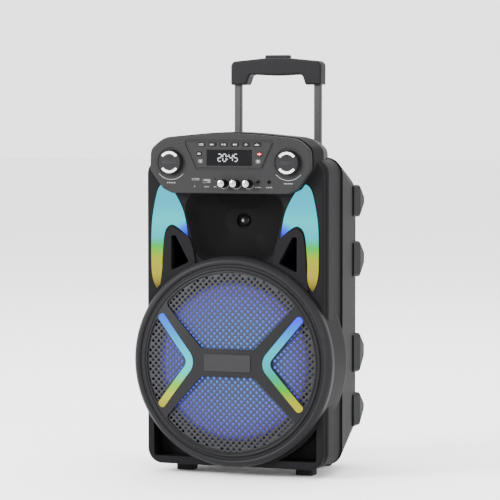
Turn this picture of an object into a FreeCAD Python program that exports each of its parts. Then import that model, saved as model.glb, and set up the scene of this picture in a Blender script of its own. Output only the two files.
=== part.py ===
import FreeCAD, Part
import math
import os

# Trolley party speaker with a 12-inch-class woofer, in millimetres.
# X runs to the right seen from the front, Y runs to the back, Z runs up from the floor.
# Places along Y are written as a depth behind the name plate, and deep() turns a depth into Y.

# Overall sizes
KNOB_TIP_DEPTH = -6.0
REAR_DEPTH = 306.0
MID_DEPTH = (KNOB_TIP_DEPTH + REAR_DEPTH) / 2
FACE_DEPTH = 36.0
PARTING_DEPTH = 129.0
BACK_WALL_DEPTH = 249.0
WALL = 3.5
EPS = 0.3

# Cabinet outline
HALF_WIDTH = 168.0
BEAD_HALF_WIDTH = 172.0
BEAD_FRONT_DEPTH = 40.0
BEAD_BACK_DEPTH = 79.0
BOTTOM = 16.0
SHOULDER = 564.0
SHOULDER_CORNER = 28.0
BOTTOM_CORNER = 28.0
POCKET_BACK_DEPTH = 75.0
BACK_HALF_WIDTH = 154.6
BACK_BOTTOM = 44.0
BACK_TOP = 541.0
BACK_CORNER = 44.0
SPINE_HALF = 97.0
SPINE_DEPTH = 270.0
SPINE_LOW = 56.0
SPINE_HIGH = 536.0

# Woofer and grille
WOOFER_Z = 204.0
MESH_RADIUS = 164.0
WINDOW_RADIUS = 160.0
RING_RADIUS = 188.0
RING_BACK_DEPTH = 38.0
BULGE_BACK_DEPTH = 120.0
BRACE_RISE = 16.0
WOOFER_HOLE = 140.0
FLANGE_RADIUS = 156.0
SCREW_CIRCLE = 145.0
WOOFER_SCREWS = 8
# Centre line of the right chevron strip: (x, z) from the woofer's axis
CHEVRON = ((133.0, 81.0), (67.0, 0.0), (133.0, -81.0))
LENS_HALF = 6.7
CHEVRON_BOARD_HALF = 5.6
CHANNEL_HALF = 7.0
CHEVRON_BEND = 14.0
WINDOW_EDGE = 8.6

# Control panel
PANEL_DEPTH = 12.0
PANEL_BACK_DEPTH = 24.0
PANEL_WALL = 3.0
BOARD_DEPTH = 21.2
KNOB_X = 111.0
KNOB_Z = 558.0
SMALL_KNOB_X = (-9.5, 13.3, 37.1)
SMALL_KNOB_Z = 521.0
TOP_BUTTON_X = (-53.0, -31.8, -10.6, 10.6, 31.8, 53.0)
TOP_BUTTON_Z = 589.5
DISPLAY_HALF = 43.0
DISPLAY_LOW = 552.0
DISPLAY_HIGH = 580.5
PANEL_CORNERS = [
    (-110, 503), (110, 503), (127, 511), (152, 545), (151, 581), (128, 600),
    (0, 612), (-128, 600), (-151, 581), (-152, 545), (-127, 511),
]
PANEL_RADII = [14, 14, 10, 14, 20, 40, 640, 40, 20, 14, 10]
PANEL_SCREWS = ((-94.0, 594.0), (94.0, 594.0), (-119.0, 515.0), (119.0, 515.0))
BEZEL_CORNERS = [(-63, 544.5), (63, 544.5), (88, 598), (-88, 598)]
SIDE_BUTTONS = (
    ("menu_button", -57.0, 573.0),
    ("input_button", -54.5, 560.0),
    ("record_button", 57.0, 573.0),
    ("light_button", 54.5, 560.0),
)
TOP_BUTTONS = (
    "mode_button", "previous_button", "play_button", "next_button", "repeat_button", "tone_button",
)
BUTTON_FRONT = 10.6
USB = (-43.0, 525.0, 14.0, 6.6)
CARD = (-64.0, 528.0, 14.0, 3.4)
AUX = (54.0, 524.0)
DC = (75.0, 524.0)
AUX_BORE = 1.8
DC_BORE = 2.8
SMALL_HOLE = (-27.0, 529.0)

# Sections of the head: depth, width and height as shares of the panel's outline
HEAD_SECTIONS = (
    (PANEL_BACK_DEPTH, 1.013, 1.018), (60.0, 1.053, 1.022), (PARTING_DEPTH, 0.945, 0.985),
)
CAP_SECTIONS = ((PARTING_DEPTH, 0.945, 0.985), (152.0, 0.89, 0.93), (166.0, 0.80, 0.84))
HEAD_ROOM_SECTIONS = ((PANEL_BACK_DEPTH + 4, 1.013, 1.018), *HEAD_SECTIONS[1:])
CAP_ROOM_SECTIONS = (
    (PARTING_DEPTH - 1, 0.945, 0.985), (150.0, 0.89, 0.93), (162.0, 0.80, 0.84),
)
HEAD_LOW = 503.0
HEAD_SOLID_LOW = 497.0
HEAD_ROOM_LOW = 516.0

# Horn recess and bass ports
HORN_Z = 453.0
THROAT_DEPTH = 84.0
THROAT_RADIUS = 14.0
HORN_CORNERS = ((-71, 380), (71, 380), (104, 508), (-104, 508))
HORN_CORNER_RADIUS = 34.0
HORN_STEPS = ((56.0, 0.87), (74.0, 0.62), (THROAT_DEPTH, 0.38))
PORT_CORNERS = [(85, 380), (119.5, 364), (119.5, 427), (111, 427)]

# Handle
HANDLE_X = 78.0
HANDLE_DEPTH = 259.0
TUBE = (14.0, 10.0, 1.2)
SLEEVE = (18.0, 14.0, 1.5)
TUBE_BOTTOM = 194.0
SLEEVE_BOTTOM = 60.0
SLEEVE_TOP = 548.0
GRIP_BOTTOM = 696.5
GRIP_UNDER = 715.5
GRIP_SHOULDER = 739.5
GRIP_TOP = 745.5
GRIP_HALF = 88.5
GRIP_THICK = 30.0
PIN_Z = TUBE_BOTTOM + 12.0
PIN_RADIUS = 2.6
PIN_LENGTH = 5.6
SPRING_WIRE = 0.6
SPRING_PITCH = 2.6
SPRING_HEIGHT = 10.1
SPRING_RADIUS = 4.0
LOCK_HEIGHTS = (78.0, 226.0, 374.0, 506.0)

# Wheels and feet
WHEEL_X = 104.0
WHEEL_RADIUS = 30.0
WHEEL_WIDTH = 22.0
WHEEL_DEPTH = 228.0
HUB_RADIUS = 21.0
AXLE_RADIUS = 4.0
FOOT_X = 114.7
FOOT_DEPTH = 96.0

# Rear bumpers: centre height, half height at the wall, half height at the tip
BUMPERS = ((485.0, 29.0, 10.0), (379.0, 32.5, 14.0), (208.0, 35.5, 15.0), (104.0, 30.5, 10.0))
BUMPER_INNER = 102.0
BUMPER_OUTER = 161.0

# Screws that join the two cabinet halves: (x, z)
CABINET_SCREWS = ((130.0, 534.0), (138.0, 300.0), (140.0, 62.0))
SCREW_SEAT_DEPTH = 137.0
SCREW_LENGTH = 16.0
SCREW_SHANK = 2.0
SCREW_HEAD = 3.5
SCREW_HEAD_HEIGHT = 2.4

# Past every face, for blocks that only cut or trim
FAR = 250.0
ABOVE = 700.0

V = FreeCAD.Vector
BACKWARD = V(0, 1, 0)
UP = V(0, 0, 1)
SIDEWAYS = V(1, 0, 0)


def deep(depth):
    """Y of a depth behind the name plate."""
    return depth - MID_DEPTH


def point(x, z, depth):
    return V(x, deep(depth), z)


def save(name, *solids):
    shape = solids[0] if len(solids) == 1 else Part.makeCompound(list(solids))
    shape.exportStep("parts/" + name + ".step")


def mirrored(shape):
    return shape.mirror(V(0, 0, 0), SIDEWAYS)


def fused(first, *others):
    shape = first
    for other in others:
        shape = shape.fuse(other)
    return shape.removeSplitter()


def box(x0, x1, d0, d1, z0, z1):
    return Part.makeBox(x1 - x0, d1 - d0, z1 - z0, point(x0, z0, d0))


def disc(radius, d0, d1, x=0.0, z=WOOFER_Z):
    """A cylinder along the depth axis."""
    return Part.makeCylinder(radius, d1 - d0, point(x, z, d0), BACKWARD)


def annulus(outer, inner, d0, d1, x=0.0, z=WOOFER_Z):
    return disc(outer, d0, d1, x, z).cut(disc(inner, d0 - 1, d1 + 1, x, z))


def rounded_wire(corners, radii, depth):
    """Closed wire through (x, z) corners, each rounded by its radius."""
    if not isinstance(radii, (list, tuple)):
        radii = [radii] * len(corners)
    pts = [point(x, z, depth) for x, z in corners]
    count = len(pts)
    arcs = []
    for i in range(count):
        before, here, after = pts[i - 1], pts[i], pts[(i + 1) % count]
        to_before = (before - here).normalize()
        to_after = (after - here).normalize()
        half = to_before.getAngle(to_after) / 2
        run = radii[i] / math.tan(half)
        middle = (to_before + to_after).normalize()
        reach = radii[i] / math.sin(half) - radii[i]
        arcs.append((here + to_before * run, here + middle * reach, here + to_after * run))
    edges = []
    for i in range(count):
        start, mid, end = arcs[i]
        edges.append(Part.Arc(start, mid, end).toShape())
        following = arcs[(i + 1) % count][0]
        if end.distanceToPoint(following) > 1e-6:
            edges.append(Part.LineSegment(end, following).toShape())
    return Part.Wire(edges)


def slab(wire, thickness):
    return Part.Face(wire).extrude(V(0, thickness, 0))


def pad(corners, radii, d0, d1):
    return slab(rounded_wire(corners, radii, d0), d1 - d0)


def rectangle(x0, x1, z0, z1):
    return [(x0, z0), (x1, z0), (x1, z1), (x0, z1)]


def rounded_box(x, z, width, height, radius, d0, d1):
    corners = rectangle(x - width / 2, x + width / 2, z - height / 2, z + height / 2)
    return pad(corners, radius, d0, d1)


def rod_up(x, depth, z0, z1, radius):
    return Part.makeCylinder(radius, z1 - z0, point(x, z0, depth), UP)


def spun(profile):
    """Solid turned about the woofer's axis from (radius, depth) points or arcs."""
    edges = []
    for item in profile:
        ends = [point(r, WOOFER_Z, d) for r, d in item]
        if len(ends) == 2:
            edges.append(Part.LineSegment(*ends).toShape())
        else:
            edges.append(Part.Arc(*ends).toShape())
    face = Part.Face(Part.Wire(edges))
    return face.revolve(point(0, WOOFER_Z, 0), BACKWARD, 360)


def lines(points):
    """Straight sides of a closed profile."""
    return [(points[i], points[(i + 1) % len(points)]) for i in range(len(points))]


def edges_at_depth(shape, depth):
    level = deep(depth)
    found = []
    for edge in shape.Edges:
        bounds = edge.BoundBox
        if abs(bounds.YMin - level) < 1e-3 and abs(bounds.YMax - level) < 1e-3:
            found.append(edge)
    return found


def cap_ball(radius, front_depth):
    """Ball whose front pole lies at front_depth on the woofer's axis."""
    return Part.makeSphere(radius, point(0, WOOFER_Z, front_depth + radius))


def dome_radius(rise, reach):
    return (reach * reach + rise * rise) / (2 * rise)


BRACE_BALL = dome_radius(BRACE_RISE, WINDOW_RADIUS)
MESH_FRONT = 9.0
MESH_BALL = dome_radius(11.0, MESH_RADIUS)


# ---------------------------------------------------------------- cabinet

def front_outline(grow, d0, d1):
    """Front cabinet block below the head: straight sides and rounded corners."""
    half = HALF_WIDTH + grow
    low = BOTTOM + max(-grow, 0)
    corners = rectangle(-half, half, low, SHOULDER + grow)
    base, top = BOTTOM_CORNER + grow, SHOULDER_CORNER + grow
    return pad(corners, [base, base, top, top], d0, d1)


def panel_wire(grow, depth):
    wire = rounded_wire(PANEL_CORNERS, PANEL_RADII, depth)
    return wire.makeOffset2D(grow) if grow else wire


def head_wire(grow, depth, wide, tall):
    corners = [(x * wide, HEAD_LOW + (z - HEAD_LOW) * tall) for x, z in PANEL_CORNERS]
    wire = rounded_wire(corners, PANEL_RADII, depth)
    return wire.makeOffset2D(grow) if grow else wire


def head_loft(grow, sections, low):
    """Hood behind the control panel, above the shoulders of the cabinet."""
    loft = Part.makeLoft([head_wire(grow, *section) for section in sections], True, True)
    return loft.common(box(-FAR, FAR, 0, 200, low, ABOVE))


def horn_section(depth, scale, grow):
    """Rounded four-cornered section of the horn recess."""
    corners = []
    for x, z in HORN_CORNERS:
        side = 1 if x > 0 else -1
        lift = 1 if z > HORN_Z else -1
        corners.append((x * scale + side * grow, HORN_Z + (z - HORN_Z) * scale + lift * grow))
    return rounded_wire(corners, HORN_CORNER_RADIUS * scale + grow, depth)


def horn_recess(grow):
    wires = [horn_section(FACE_DEPTH, 1.0, grow)]
    for depth, scale in HORN_STEPS:
        wires.append(horn_section(depth + grow, scale, grow))
    return Part.makeLoft(wires, True, False)


def light_wire(depth, scale=1.0):
    """Fang-shaped outline of the right side light."""
    outer = [
        (132, 521), (142, 514.5), (149.2, 497), (153.5, 477), (157.3, 450), (158.7, 420),
        (158.8, 381), (154.7, 345), (148.3, 331.5),
    ]
    notch = [
        (148.3, 331.5), (141.3, 341.5), (138.4, 374), (136.4, 407), (133.6, 430), (129, 440.4),
        (119.3, 446), (107.3, 441), (98, 434), (87.5, 423.5),
    ]
    inner = [(87.5, 423.5), (91.7, 447.7), (97.8, 472), (105.5, 488.7), (114, 502.5), (132, 521)]
    middle_x, middle_z = 128.0, 440.0
    edges = []
    for run in (outer, notch, inner):
        curve = Part.BSplineCurve()
        pts = [point(middle_x + (x - middle_x) * scale, middle_z + (z - middle_z) * scale, depth)
               for x, z in run]
        curve.interpolate(pts)
        edges.append(curve.toShape())
    return Part.Wire(edges)


def port_hole(grow, d0, d1):
    """Three-sided port duct, right side."""
    wire = rounded_wire(PORT_CORNERS, 3.0, d0)
    return slab(wire.makeOffset2D(grow) if grow else wire, d1 - d0)


def ear_pad():
    """Raised rim round the right port mouth."""
    corners = [
        (130, 322), (72, 372), (77.5, 404), (84, 422), (99, 433), (119, 443.5),
        (131, 432), (135, 404), (136.5, 369), (141, 336),
    ]
    return pad(corners, [2, 2, 4, 4, 8, 10, 8, 8, 8, 2], FACE_DEPTH - 4.5, FACE_DEPTH + 1)


def corner_pocket(grow, back):
    """Dark pocket beside the ring at the right bottom corner."""
    block = pad(rectangle(60 - grow, 155 + grow, 30 - grow, 140), 6 + grow, 20, back)
    return block.cut(disc(RING_RADIUS + 4 - grow, 10, back + 1))


def screw_places():
    return [(side * x, z) for x, z in CABINET_SCREWS for side in (-1, 1)]


def woofer_screw_places():
    step = 2 * math.pi / WOOFER_SCREWS
    angles = [(i + 0.5) * step for i in range(WOOFER_SCREWS)]
    return [(SCREW_CIRCLE * math.cos(a), WOOFER_Z + SCREW_CIRCLE * math.sin(a)) for a in angles]


def cabinet_block():
    """The front half before it is hollowed: body, edge bead, woofer bulge and head."""
    body = front_outline(0, FACE_DEPTH, PARTING_DEPTH)
    body = body.makeFillet(5.0, edges_at_depth(body, FACE_DEPTH))
    bead = front_outline(BEAD_HALF_WIDTH - HALF_WIDTH, BEAD_FRONT_DEPTH, BEAD_BACK_DEPTH)
    bead = bead.makeFillet(14.0, edges_at_depth(bead, BEAD_FRONT_DEPTH))
    bead = bead.makeFillet(6.0, edges_at_depth(bead, BEAD_BACK_DEPTH))
    bead = bead.cut(box(-FAR, FAR, 30, 104, -20, BOTTOM))
    bulge = disc(RING_RADIUS, RING_BACK_DEPTH, BULGE_BACK_DEPTH)
    bulge = bulge.makeFillet(20.0, edges_at_depth(bulge, BULGE_BACK_DEPTH))
    head = head_loft(0, HEAD_SECTIONS, HEAD_SOLID_LOW)
    pads = [ear_pad(), mirrored(ear_pad())]
    body = fused(body, bead, bulge, head, *pads)
    return body.cut(disc(RING_RADIUS + EPS, 0, RING_BACK_DEPTH))


def cabinet_cavity():
    """The room inside the front half, less the walls and bosses that stand in it."""
    inner = front_outline(-WALL, FACE_DEPTH + 4, PARTING_DEPTH + 1)
    inner_bulge = disc(RING_RADIUS - WALL, RING_BACK_DEPTH + 4, BULGE_BACK_DEPTH - WALL)
    inner_bulge = inner_bulge.makeFillet(16.5, edges_at_depth(inner_bulge, BULGE_BACK_DEPTH - WALL))
    head_room = head_loft(-WALL, HEAD_ROOM_SECTIONS, HEAD_ROOM_LOW)
    cavity = inner.fuse(inner_bulge).fuse(head_room)
    keep = disc(RING_RADIUS - EPS, 0, 200)
    cavity = cavity.cut(horn_recess(WALL).cut(keep))
    pocket_walls = corner_pocket(WALL, POCKET_BACK_DEPTH + WALL)
    for pocket in (pocket_walls, mirrored(pocket_walls)):
        cavity = cavity.cut(pocket.cut(keep))
    for x, z in screw_places():
        cavity = cavity.cut(disc(6.0, PANEL_BACK_DEPTH, PARTING_DEPTH + 2, x, z))
    for x, z in woofer_screw_places():
        cavity = cavity.cut(disc(5.0, RING_BACK_DEPTH, 52, x, z))
    return cavity


def front_cabinet():
    body = cabinet_block().cut(cabinet_cavity())
    body = body.cut(horn_recess(0).cut(disc(RING_RADIUS + EPS, 0, 200)))
    body = body.cut(disc(THROAT_RADIUS, THROAT_DEPTH - 4, THROAT_DEPTH + 10, 0, HORN_Z))
    body = body.cut(disc(WOOFER_HOLE, 20, 60))
    for hole in (corner_pocket(0, POCKET_BACK_DEPTH), port_hole(0, 20, 60)):
        body = body.cut(hole).cut(mirrored(hole))
    opening = slab(light_wire(FACE_DEPTH - 6), 10.2)
    body = body.cut(opening).cut(mirrored(opening))
    for x, z in screw_places():
        body = body.cut(disc(SCREW_SHANK, 112, PARTING_DEPTH + 1, x, z))
    for x, z in woofer_screw_places():
        body = body.cut(disc(SCREW_SHANK, 30, 54, x, z))
    for x, z in PANEL_SCREWS:
        body = body.cut(disc(1.5, PANEL_BACK_DEPTH - 1, 34, x, z))
    body = body.cut(rounded_box(0, 540, 60, 24, 4, 20, 45))
    save("front_cabinet", body)


def rear_loft(grow, d0, d1):
    """Tapered rear half, cut to the depths asked for."""
    wires = []
    ends = (
        (PARTING_DEPTH, HALF_WIDTH + 3, BOTTOM, SHOULDER + 2, SHOULDER_CORNER + 3, BOTTOM_CORNER),
        (BACK_WALL_DEPTH, BACK_HALF_WIDTH, BACK_BOTTOM, BACK_TOP, BACK_CORNER, BACK_CORNER),
    )
    for depth, half, low, high, top_corner, low_corner in ends:
        corners = rectangle(-half - grow, half + grow, low - grow, high + grow)
        radii = [low_corner + grow, low_corner + grow, top_corner + grow, top_corner + grow]
        wires.append(rounded_wire(corners, radii, depth))
    whole = Part.makeLoft(wires, True, True)
    return whole.common(box(-FAR, FAR, d0, d1, 0, ABOVE))


def bumper(middle, half_base, half_tip):
    """Right-hand rear bumper, chamfered on every side."""
    base = rounded_wire(
        rectangle(BUMPER_INNER, BUMPER_OUTER, middle - half_base, middle + half_base), 6, 222)
    waist = rounded_wire(
        rectangle(BUMPER_INNER, BUMPER_OUTER, middle - half_base, middle + half_base), 6, 258)
    tip = rounded_wire(
        rectangle(BUMPER_INNER + 10, BUMPER_OUTER - 9, middle - half_tip, middle + half_tip),
        6, REAR_DEPTH)
    lower = Part.makeLoft([base, waist], True, True)
    upper = Part.makeLoft([waist, tip], True, True)
    return lower.fuse(upper)


def spine_block():
    """Raised centre panel of the back, which holds the two handle sleeves."""
    corners = rectangle(-SPINE_HALF, SPINE_HALF, SPINE_LOW, SPINE_HIGH)
    block = pad(corners, 12, 240, SPINE_DEPTH)
    return block.makeFillet(4.0, edges_at_depth(block, SPINE_DEPTH))


def wheel_room(grow):
    half = WHEEL_WIDTH / 2 + 3 + grow
    return box(WHEEL_X - half, WHEEL_X + half, 190 - grow, 320, -5, 68 + grow)


def rear_block():
    """The rear half before it is hollowed: tapered body, spine, head cap and bumpers."""
    shell = rear_loft(0, PARTING_DEPTH, BACK_WALL_DEPTH)
    blocks = [bumper(*b) for b in BUMPERS]
    wheel_side = wheel_room(WALL).common(box(0, 250, 180, 252, 18, 90))
    right = [*blocks, wheel_side]
    spine = spine_block()
    head_cap = head_loft(0, CAP_SECTIONS, HEAD_SOLID_LOW)
    return fused(shell, spine, head_cap, *right, *[mirrored(s) for s in right])


def rear_cavity():
    """The room inside the rear half, less its screw towers, ribs and posts."""
    cavity = rear_loft(-WALL, PARTING_DEPTH - 1, BACK_WALL_DEPTH - WALL)
    cavity = cavity.fuse(head_loft(-WALL, CAP_ROOM_SECTIONS, HEAD_ROOM_LOW))
    for side_shape in (wheel_room(WALL), mirrored(wheel_room(WALL))):
        cavity = cavity.cut(side_shape)
    cavity = cavity.fuse(box(-63, 63, 240, SPINE_DEPTH - 4, SPINE_LOW + 24, SPINE_HIGH - 6))
    tower = rear_loft(0, PARTING_DEPTH - 1, BACK_WALL_DEPTH)
    for x, z in screw_places():
        cavity = cavity.cut(disc(7.0, PARTING_DEPTH - 1, 260, x, z).common(tower))
    for x in (-60, 60):
        cavity = cavity.cut(box(x - 2, x + 2, 140, 212, 10, 48))
    for x in (-60, 60):
        for z in (340, 440):
            cavity = cavity.cut(disc(4.0, 227, SPINE_DEPTH, x, z))
    return cavity


def rear_shell():
    shell = rear_block().cut(rear_cavity())
    for middle, _, _ in BUMPERS:
        hollow = box(BUMPER_INNER + 4, BUMPER_OUTER - 16, 236, 262, middle - 16, middle + 16)
        shell = shell.cut(hollow).cut(mirrored(hollow))

    for x in (-HANDLE_X, HANDLE_X):
        shell = shell.cut(upright_block(x, *SLEEVE[:2], SLEEVE_BOTTOM, SLEEVE_TOP))
    room = wheel_room(0)
    shell = shell.cut(room).cut(mirrored(room))
    start = V(-150, deep(WHEEL_DEPTH), WHEEL_RADIUS)
    axle_hole = Part.makeCylinder(AXLE_RADIUS, 300, start, SIDEWAYS)
    shell = shell.cut(axle_hole)
    for x, z in screw_places():
        shell = shell.cut(disc(SCREW_SHANK + 0.3, PARTING_DEPTH - 2, SCREW_SEAT_DEPTH + 1, x, z))
        shell = shell.cut(disc(SCREW_HEAD + 1, SCREW_SEAT_DEPTH, REAR_DEPTH + 2, x, z))
    for i in range(5):
        groove = rounded_box(0, 210 + i * 46, 110, 10, 4.9, SPINE_DEPTH - 1.6, 280)
        shell = shell.cut(groove)
    save("rear_shell", shell)


# ---------------------------------------------------------------- control panel

def bezel_wire(grow, depth):
    wire = rounded_wire(BEZEL_CORNERS, 6.0, depth)
    return wire.makeOffset2D(grow) if grow else wire


def button_rooms(grow):
    """Holes for the buttons through the bezel and the panel."""
    holes = [rounded_box(x, TOP_BUTTON_Z, 14 + grow, 6 + grow, 1.5, 5, 16) for x in TOP_BUTTON_X]
    holes += [rounded_box(x, z, 9 + grow, 7 + grow, 1.5, 5, 16) for _, x, z in SIDE_BUTTONS]
    return holes


def control_panel():
    floor_depth = PANEL_DEPTH + PANEL_WALL
    tray = slab(panel_wire(0, PANEL_DEPTH), PANEL_BACK_DEPTH - PANEL_DEPTH)
    tray = tray.makeFillet(2.5, edges_at_depth(tray, PANEL_DEPTH))
    room = slab(panel_wire(-PANEL_WALL, floor_depth), 20)
    for x, z in PANEL_SCREWS:
        room = room.cut(disc(4.5, floor_depth - 1, 40, x, z))
    tray = tray.cut(room)
    tray = tray.cut(slab(bezel_wire(0, PANEL_DEPTH - 3), 4.5))
    for hole in button_rooms(0.8):
        tray = tray.cut(hole)
    tray = tray.cut(box(-DISPLAY_HALF, DISPLAY_HALF, 5, 16, DISPLAY_LOW, DISPLAY_HIGH))
    for x in (-KNOB_X, KNOB_X):
        tray = tray.cut(disc(26.0, 5, PANEL_DEPTH + 1.4, x, KNOB_Z)).cut(disc(3.6, 5, 16, x, KNOB_Z))
    for x in SMALL_KNOB_X:
        tray = tray.cut(disc(3.6, 5, 16, x, SMALL_KNOB_Z))
    for x, z in PANEL_SCREWS:
        tray = tray.cut(disc(1.5, 5, 30, x, z)).cut(disc(3.0, 5, PANEL_DEPTH + 1.5, x, z))
    for x, z, width, height in (USB, CARD):
        tray = tray.cut(rounded_box(x, z, width, height, 0.5, 5, 16))
    for x, z in (AUX, DC):
        tray = tray.cut(disc(4.0, 5, 16, x, z))
    tray = tray.cut(disc(1.2, 5, 16, *SMALL_HOLE))
    save("control_panel", tray)


def panel_bezel():
    plate = slab(bezel_wire(-4.5, PANEL_DEPTH - 0.4), 1.9)
    for hole in button_rooms(0.8):
        plate = plate.cut(hole)
    window = box(-DISPLAY_HALF, DISPLAY_HALF, 5, 16, DISPLAY_LOW, DISPLAY_HIGH)
    save("panel_bezel", plate.cut(window))


def display():
    glass = box(-DISPLAY_HALF, DISPLAY_HALF, PANEL_DEPTH - 0.2, PANEL_DEPTH + PANEL_WALL,
                DISPLAY_LOW, DISPLAY_HIGH)
    save("display_window", glass)
    save("display_module", box(-41, 41, PANEL_DEPTH + PANEL_WALL, BOARD_DEPTH, 553, 579.5))


def button(name, x, z, width, height):
    cap = rounded_box(x, z, width, height, 1.4, BUTTON_FRONT, 15.4)
    cap = cap.makeFillet(0.6, edges_at_depth(cap, BUTTON_FRONT))
    half_width, half_height = width / 2 + 1, height / 2 + 1
    flange = box(x - half_width, x + half_width, 15.4, 16.4, z - half_height, z + half_height)
    save(name, fused(cap, flange))


def buttons():
    for name, x in zip(TOP_BUTTONS, TOP_BUTTON_X):
        button(name, x, TOP_BUTTON_Z, 14.0, 6.0)
    for name, x, z in SIDE_BUTTONS:
        button(name, x, z, 9.0, 7.0)


def control_board():
    board = slab(panel_wire(-4.5, BOARD_DEPTH), 1.6)
    for x, z in PANEL_SCREWS:
        board = board.cut(disc(5.2, 10, 30, x, z))
    posts = []
    places = [(x, TOP_BUTTON_Z) for x in TOP_BUTTON_X] + [(x, z) for _, x, z in SIDE_BUTTONS]
    for x, z in places:
        posts.append(box(x - 3, x + 3, 17.6, BOARD_DEPTH + 0.5, z - 3, z + 3))
    save("control_board", fused(board, *posts))


def shaft_places():
    return [(-KNOB_X, KNOB_Z), (KNOB_X, KNOB_Z)] + [(x, SMALL_KNOB_Z) for x in SMALL_KNOB_X]


def potentiometers():
    pots = []
    for x, z in shaft_places():
        pot = disc(8.0, PANEL_DEPTH + PANEL_WALL, BOARD_DEPTH, x, z)
        pots.append(pot.cut(disc(3.05, 10, BOARD_DEPTH - 0.6, x, z)))
    save("potentiometers", *pots)


def rim_places(x, z, radius, count):
    """Evenly spaced places round a circle, for grip notches."""
    turns = [2 * math.pi * i / count for i in range(count)]
    return [(x + radius * math.cos(turn), z + radius * math.sin(turn)) for turn in turns]


def big_knob(name, x):
    front, back = 3.0, PANEL_DEPTH + 1.0
    cone = Part.makeCone(20.5, 22.5, back - front, point(x, KNOB_Z, front), BACKWARD)
    cone = cone.makeFillet(1.0, edges_at_depth(cone, front))
    for notch_x, notch_z in rim_places(x, KNOB_Z, 22.6, 36):
        cone = cone.cut(disc(0.7, front + 2.5, back + 1, notch_x, notch_z))
    mark = box(x - 0.8, x + 0.8, front - 1, front + 0.6, KNOB_Z + 8, KNOB_Z + 14)
    cone = cone.cut(mark)
    shaft = disc(3.0, back - 2, BOARD_DEPTH - 0.9, x, KNOB_Z)
    save(name, fused(cone, shaft))


def small_knob(name, x):
    front, back = KNOB_TIP_DEPTH, PANEL_DEPTH - 0.6
    body = disc(7.0, front, back, x, SMALL_KNOB_Z)
    body = body.makeFillet(0.8, edges_at_depth(body, front))
    for notch_x, notch_z in rim_places(x, SMALL_KNOB_Z, 7.1, 18):
        body = body.cut(disc(0.5, front + 4, back + 1, notch_x, notch_z))
    mark = box(x - 0.6, x + 0.6, front - 1, front + 0.5, SMALL_KNOB_Z + 1.5, SMALL_KNOB_Z + 5.5)
    shaft = disc(3.0, back - 2, BOARD_DEPTH - 0.9, x, SMALL_KNOB_Z)
    save(name, fused(body.cut(mark), shaft))


def knobs():
    big_knob("mic_volume_knob", -KNOB_X)
    big_knob("volume_knob", KNOB_X)
    for name, x in zip(("echo_knob", "treble_knob", "bass_knob"), SMALL_KNOB_X):
        small_knob(name, x)


def sockets():
    x, z, width, height = USB
    can = rounded_box(x, z, width, height, 0.5, PANEL_DEPTH - 0.2, BOARD_DEPTH)
    can = can.cut(box(x - width / 2 + 0.6, x + width / 2 - 0.6, 5, 20,
                      z - height / 2 + 0.6, z + height / 2 - 0.6))
    tongue = box(x - 5.5, x + 5.5, PANEL_DEPTH + 0.6, BOARD_DEPTH, z + 0.4, z + 2.2)
    usb = fused(can, tongue)
    x, z, width, height = CARD
    can = rounded_box(x, z, width, height, 0.5, PANEL_DEPTH - 0.2, BOARD_DEPTH)
    can = can.cut(box(x - width / 2 + 0.7, x + width / 2 - 0.7, 5, 19,
                      z - height / 2 + 0.7, z + height / 2 - 0.7))
    save("media_sockets", usb, can)
    jack = disc(4.0, PANEL_DEPTH - 0.8, BOARD_DEPTH, *AUX)
    save("aux_socket", jack.cut(disc(AUX_BORE, 5, 20.2, *AUX)))
    inlet = disc(4.0, PANEL_DEPTH - 0.3, BOARD_DEPTH, *DC)
    inlet = inlet.cut(disc(DC_BORE, 5, 20.2, *DC))
    save("dc_socket", fused(inlet, disc(1.0, PANEL_DEPTH + 1, BOARD_DEPTH - 0.5, *DC)))


def pan_screw(x, z, seat, shank, head, height, length):
    """Cross-head screw driven backwards, with its head on the seat depth."""
    top = disc(head, seat - height, seat, x, z)
    top = top.makeFillet(height * 0.45, edges_at_depth(top, seat - height))
    slot_front, slot_back = seat - height - 1, seat - height * 0.45
    reach, half = head * 0.6, 0.4
    cross = box(x - reach, x + reach, slot_front, slot_back, z - half, z + half)
    upright = box(x - half, x + half, slot_front, slot_back, z - reach, z + reach)
    return fused(top.cut(cross).cut(upright), disc(shank, seat - 0.2, seat + length, x, z))


def panel_screws():
    made = [pan_screw(x, z, PANEL_DEPTH + 1.5, 1.4, 2.7, 1.6, 18.0) for x, z in PANEL_SCREWS]
    save("panel_screws", *made)


def turned_round(shape, depth):
    """The same screw driven forwards from behind, about a seat depth."""
    return shape.mirror(point(0, 0, depth), BACKWARD)


def cabinet_screws():
    size = (SCREW_SHANK, SCREW_HEAD, SCREW_HEAD_HEIGHT, SCREW_LENGTH)
    made = [pan_screw(x, z, 35.0, *size) for x, z in woofer_screw_places()]
    for x, z in screw_places():
        made.append(turned_round(pan_screw(x, z, SCREW_SEAT_DEPTH, *size), SCREW_SEAT_DEPTH))
    save("cabinet_screws", *made)


# ---------------------------------------------------------------- lights

def fang_lights():
    lens = slab(light_wire(FACE_DEPTH - 2), 6.0)
    save("right_light_lens", lens)
    save("left_light_lens", mirrored(lens))


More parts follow.
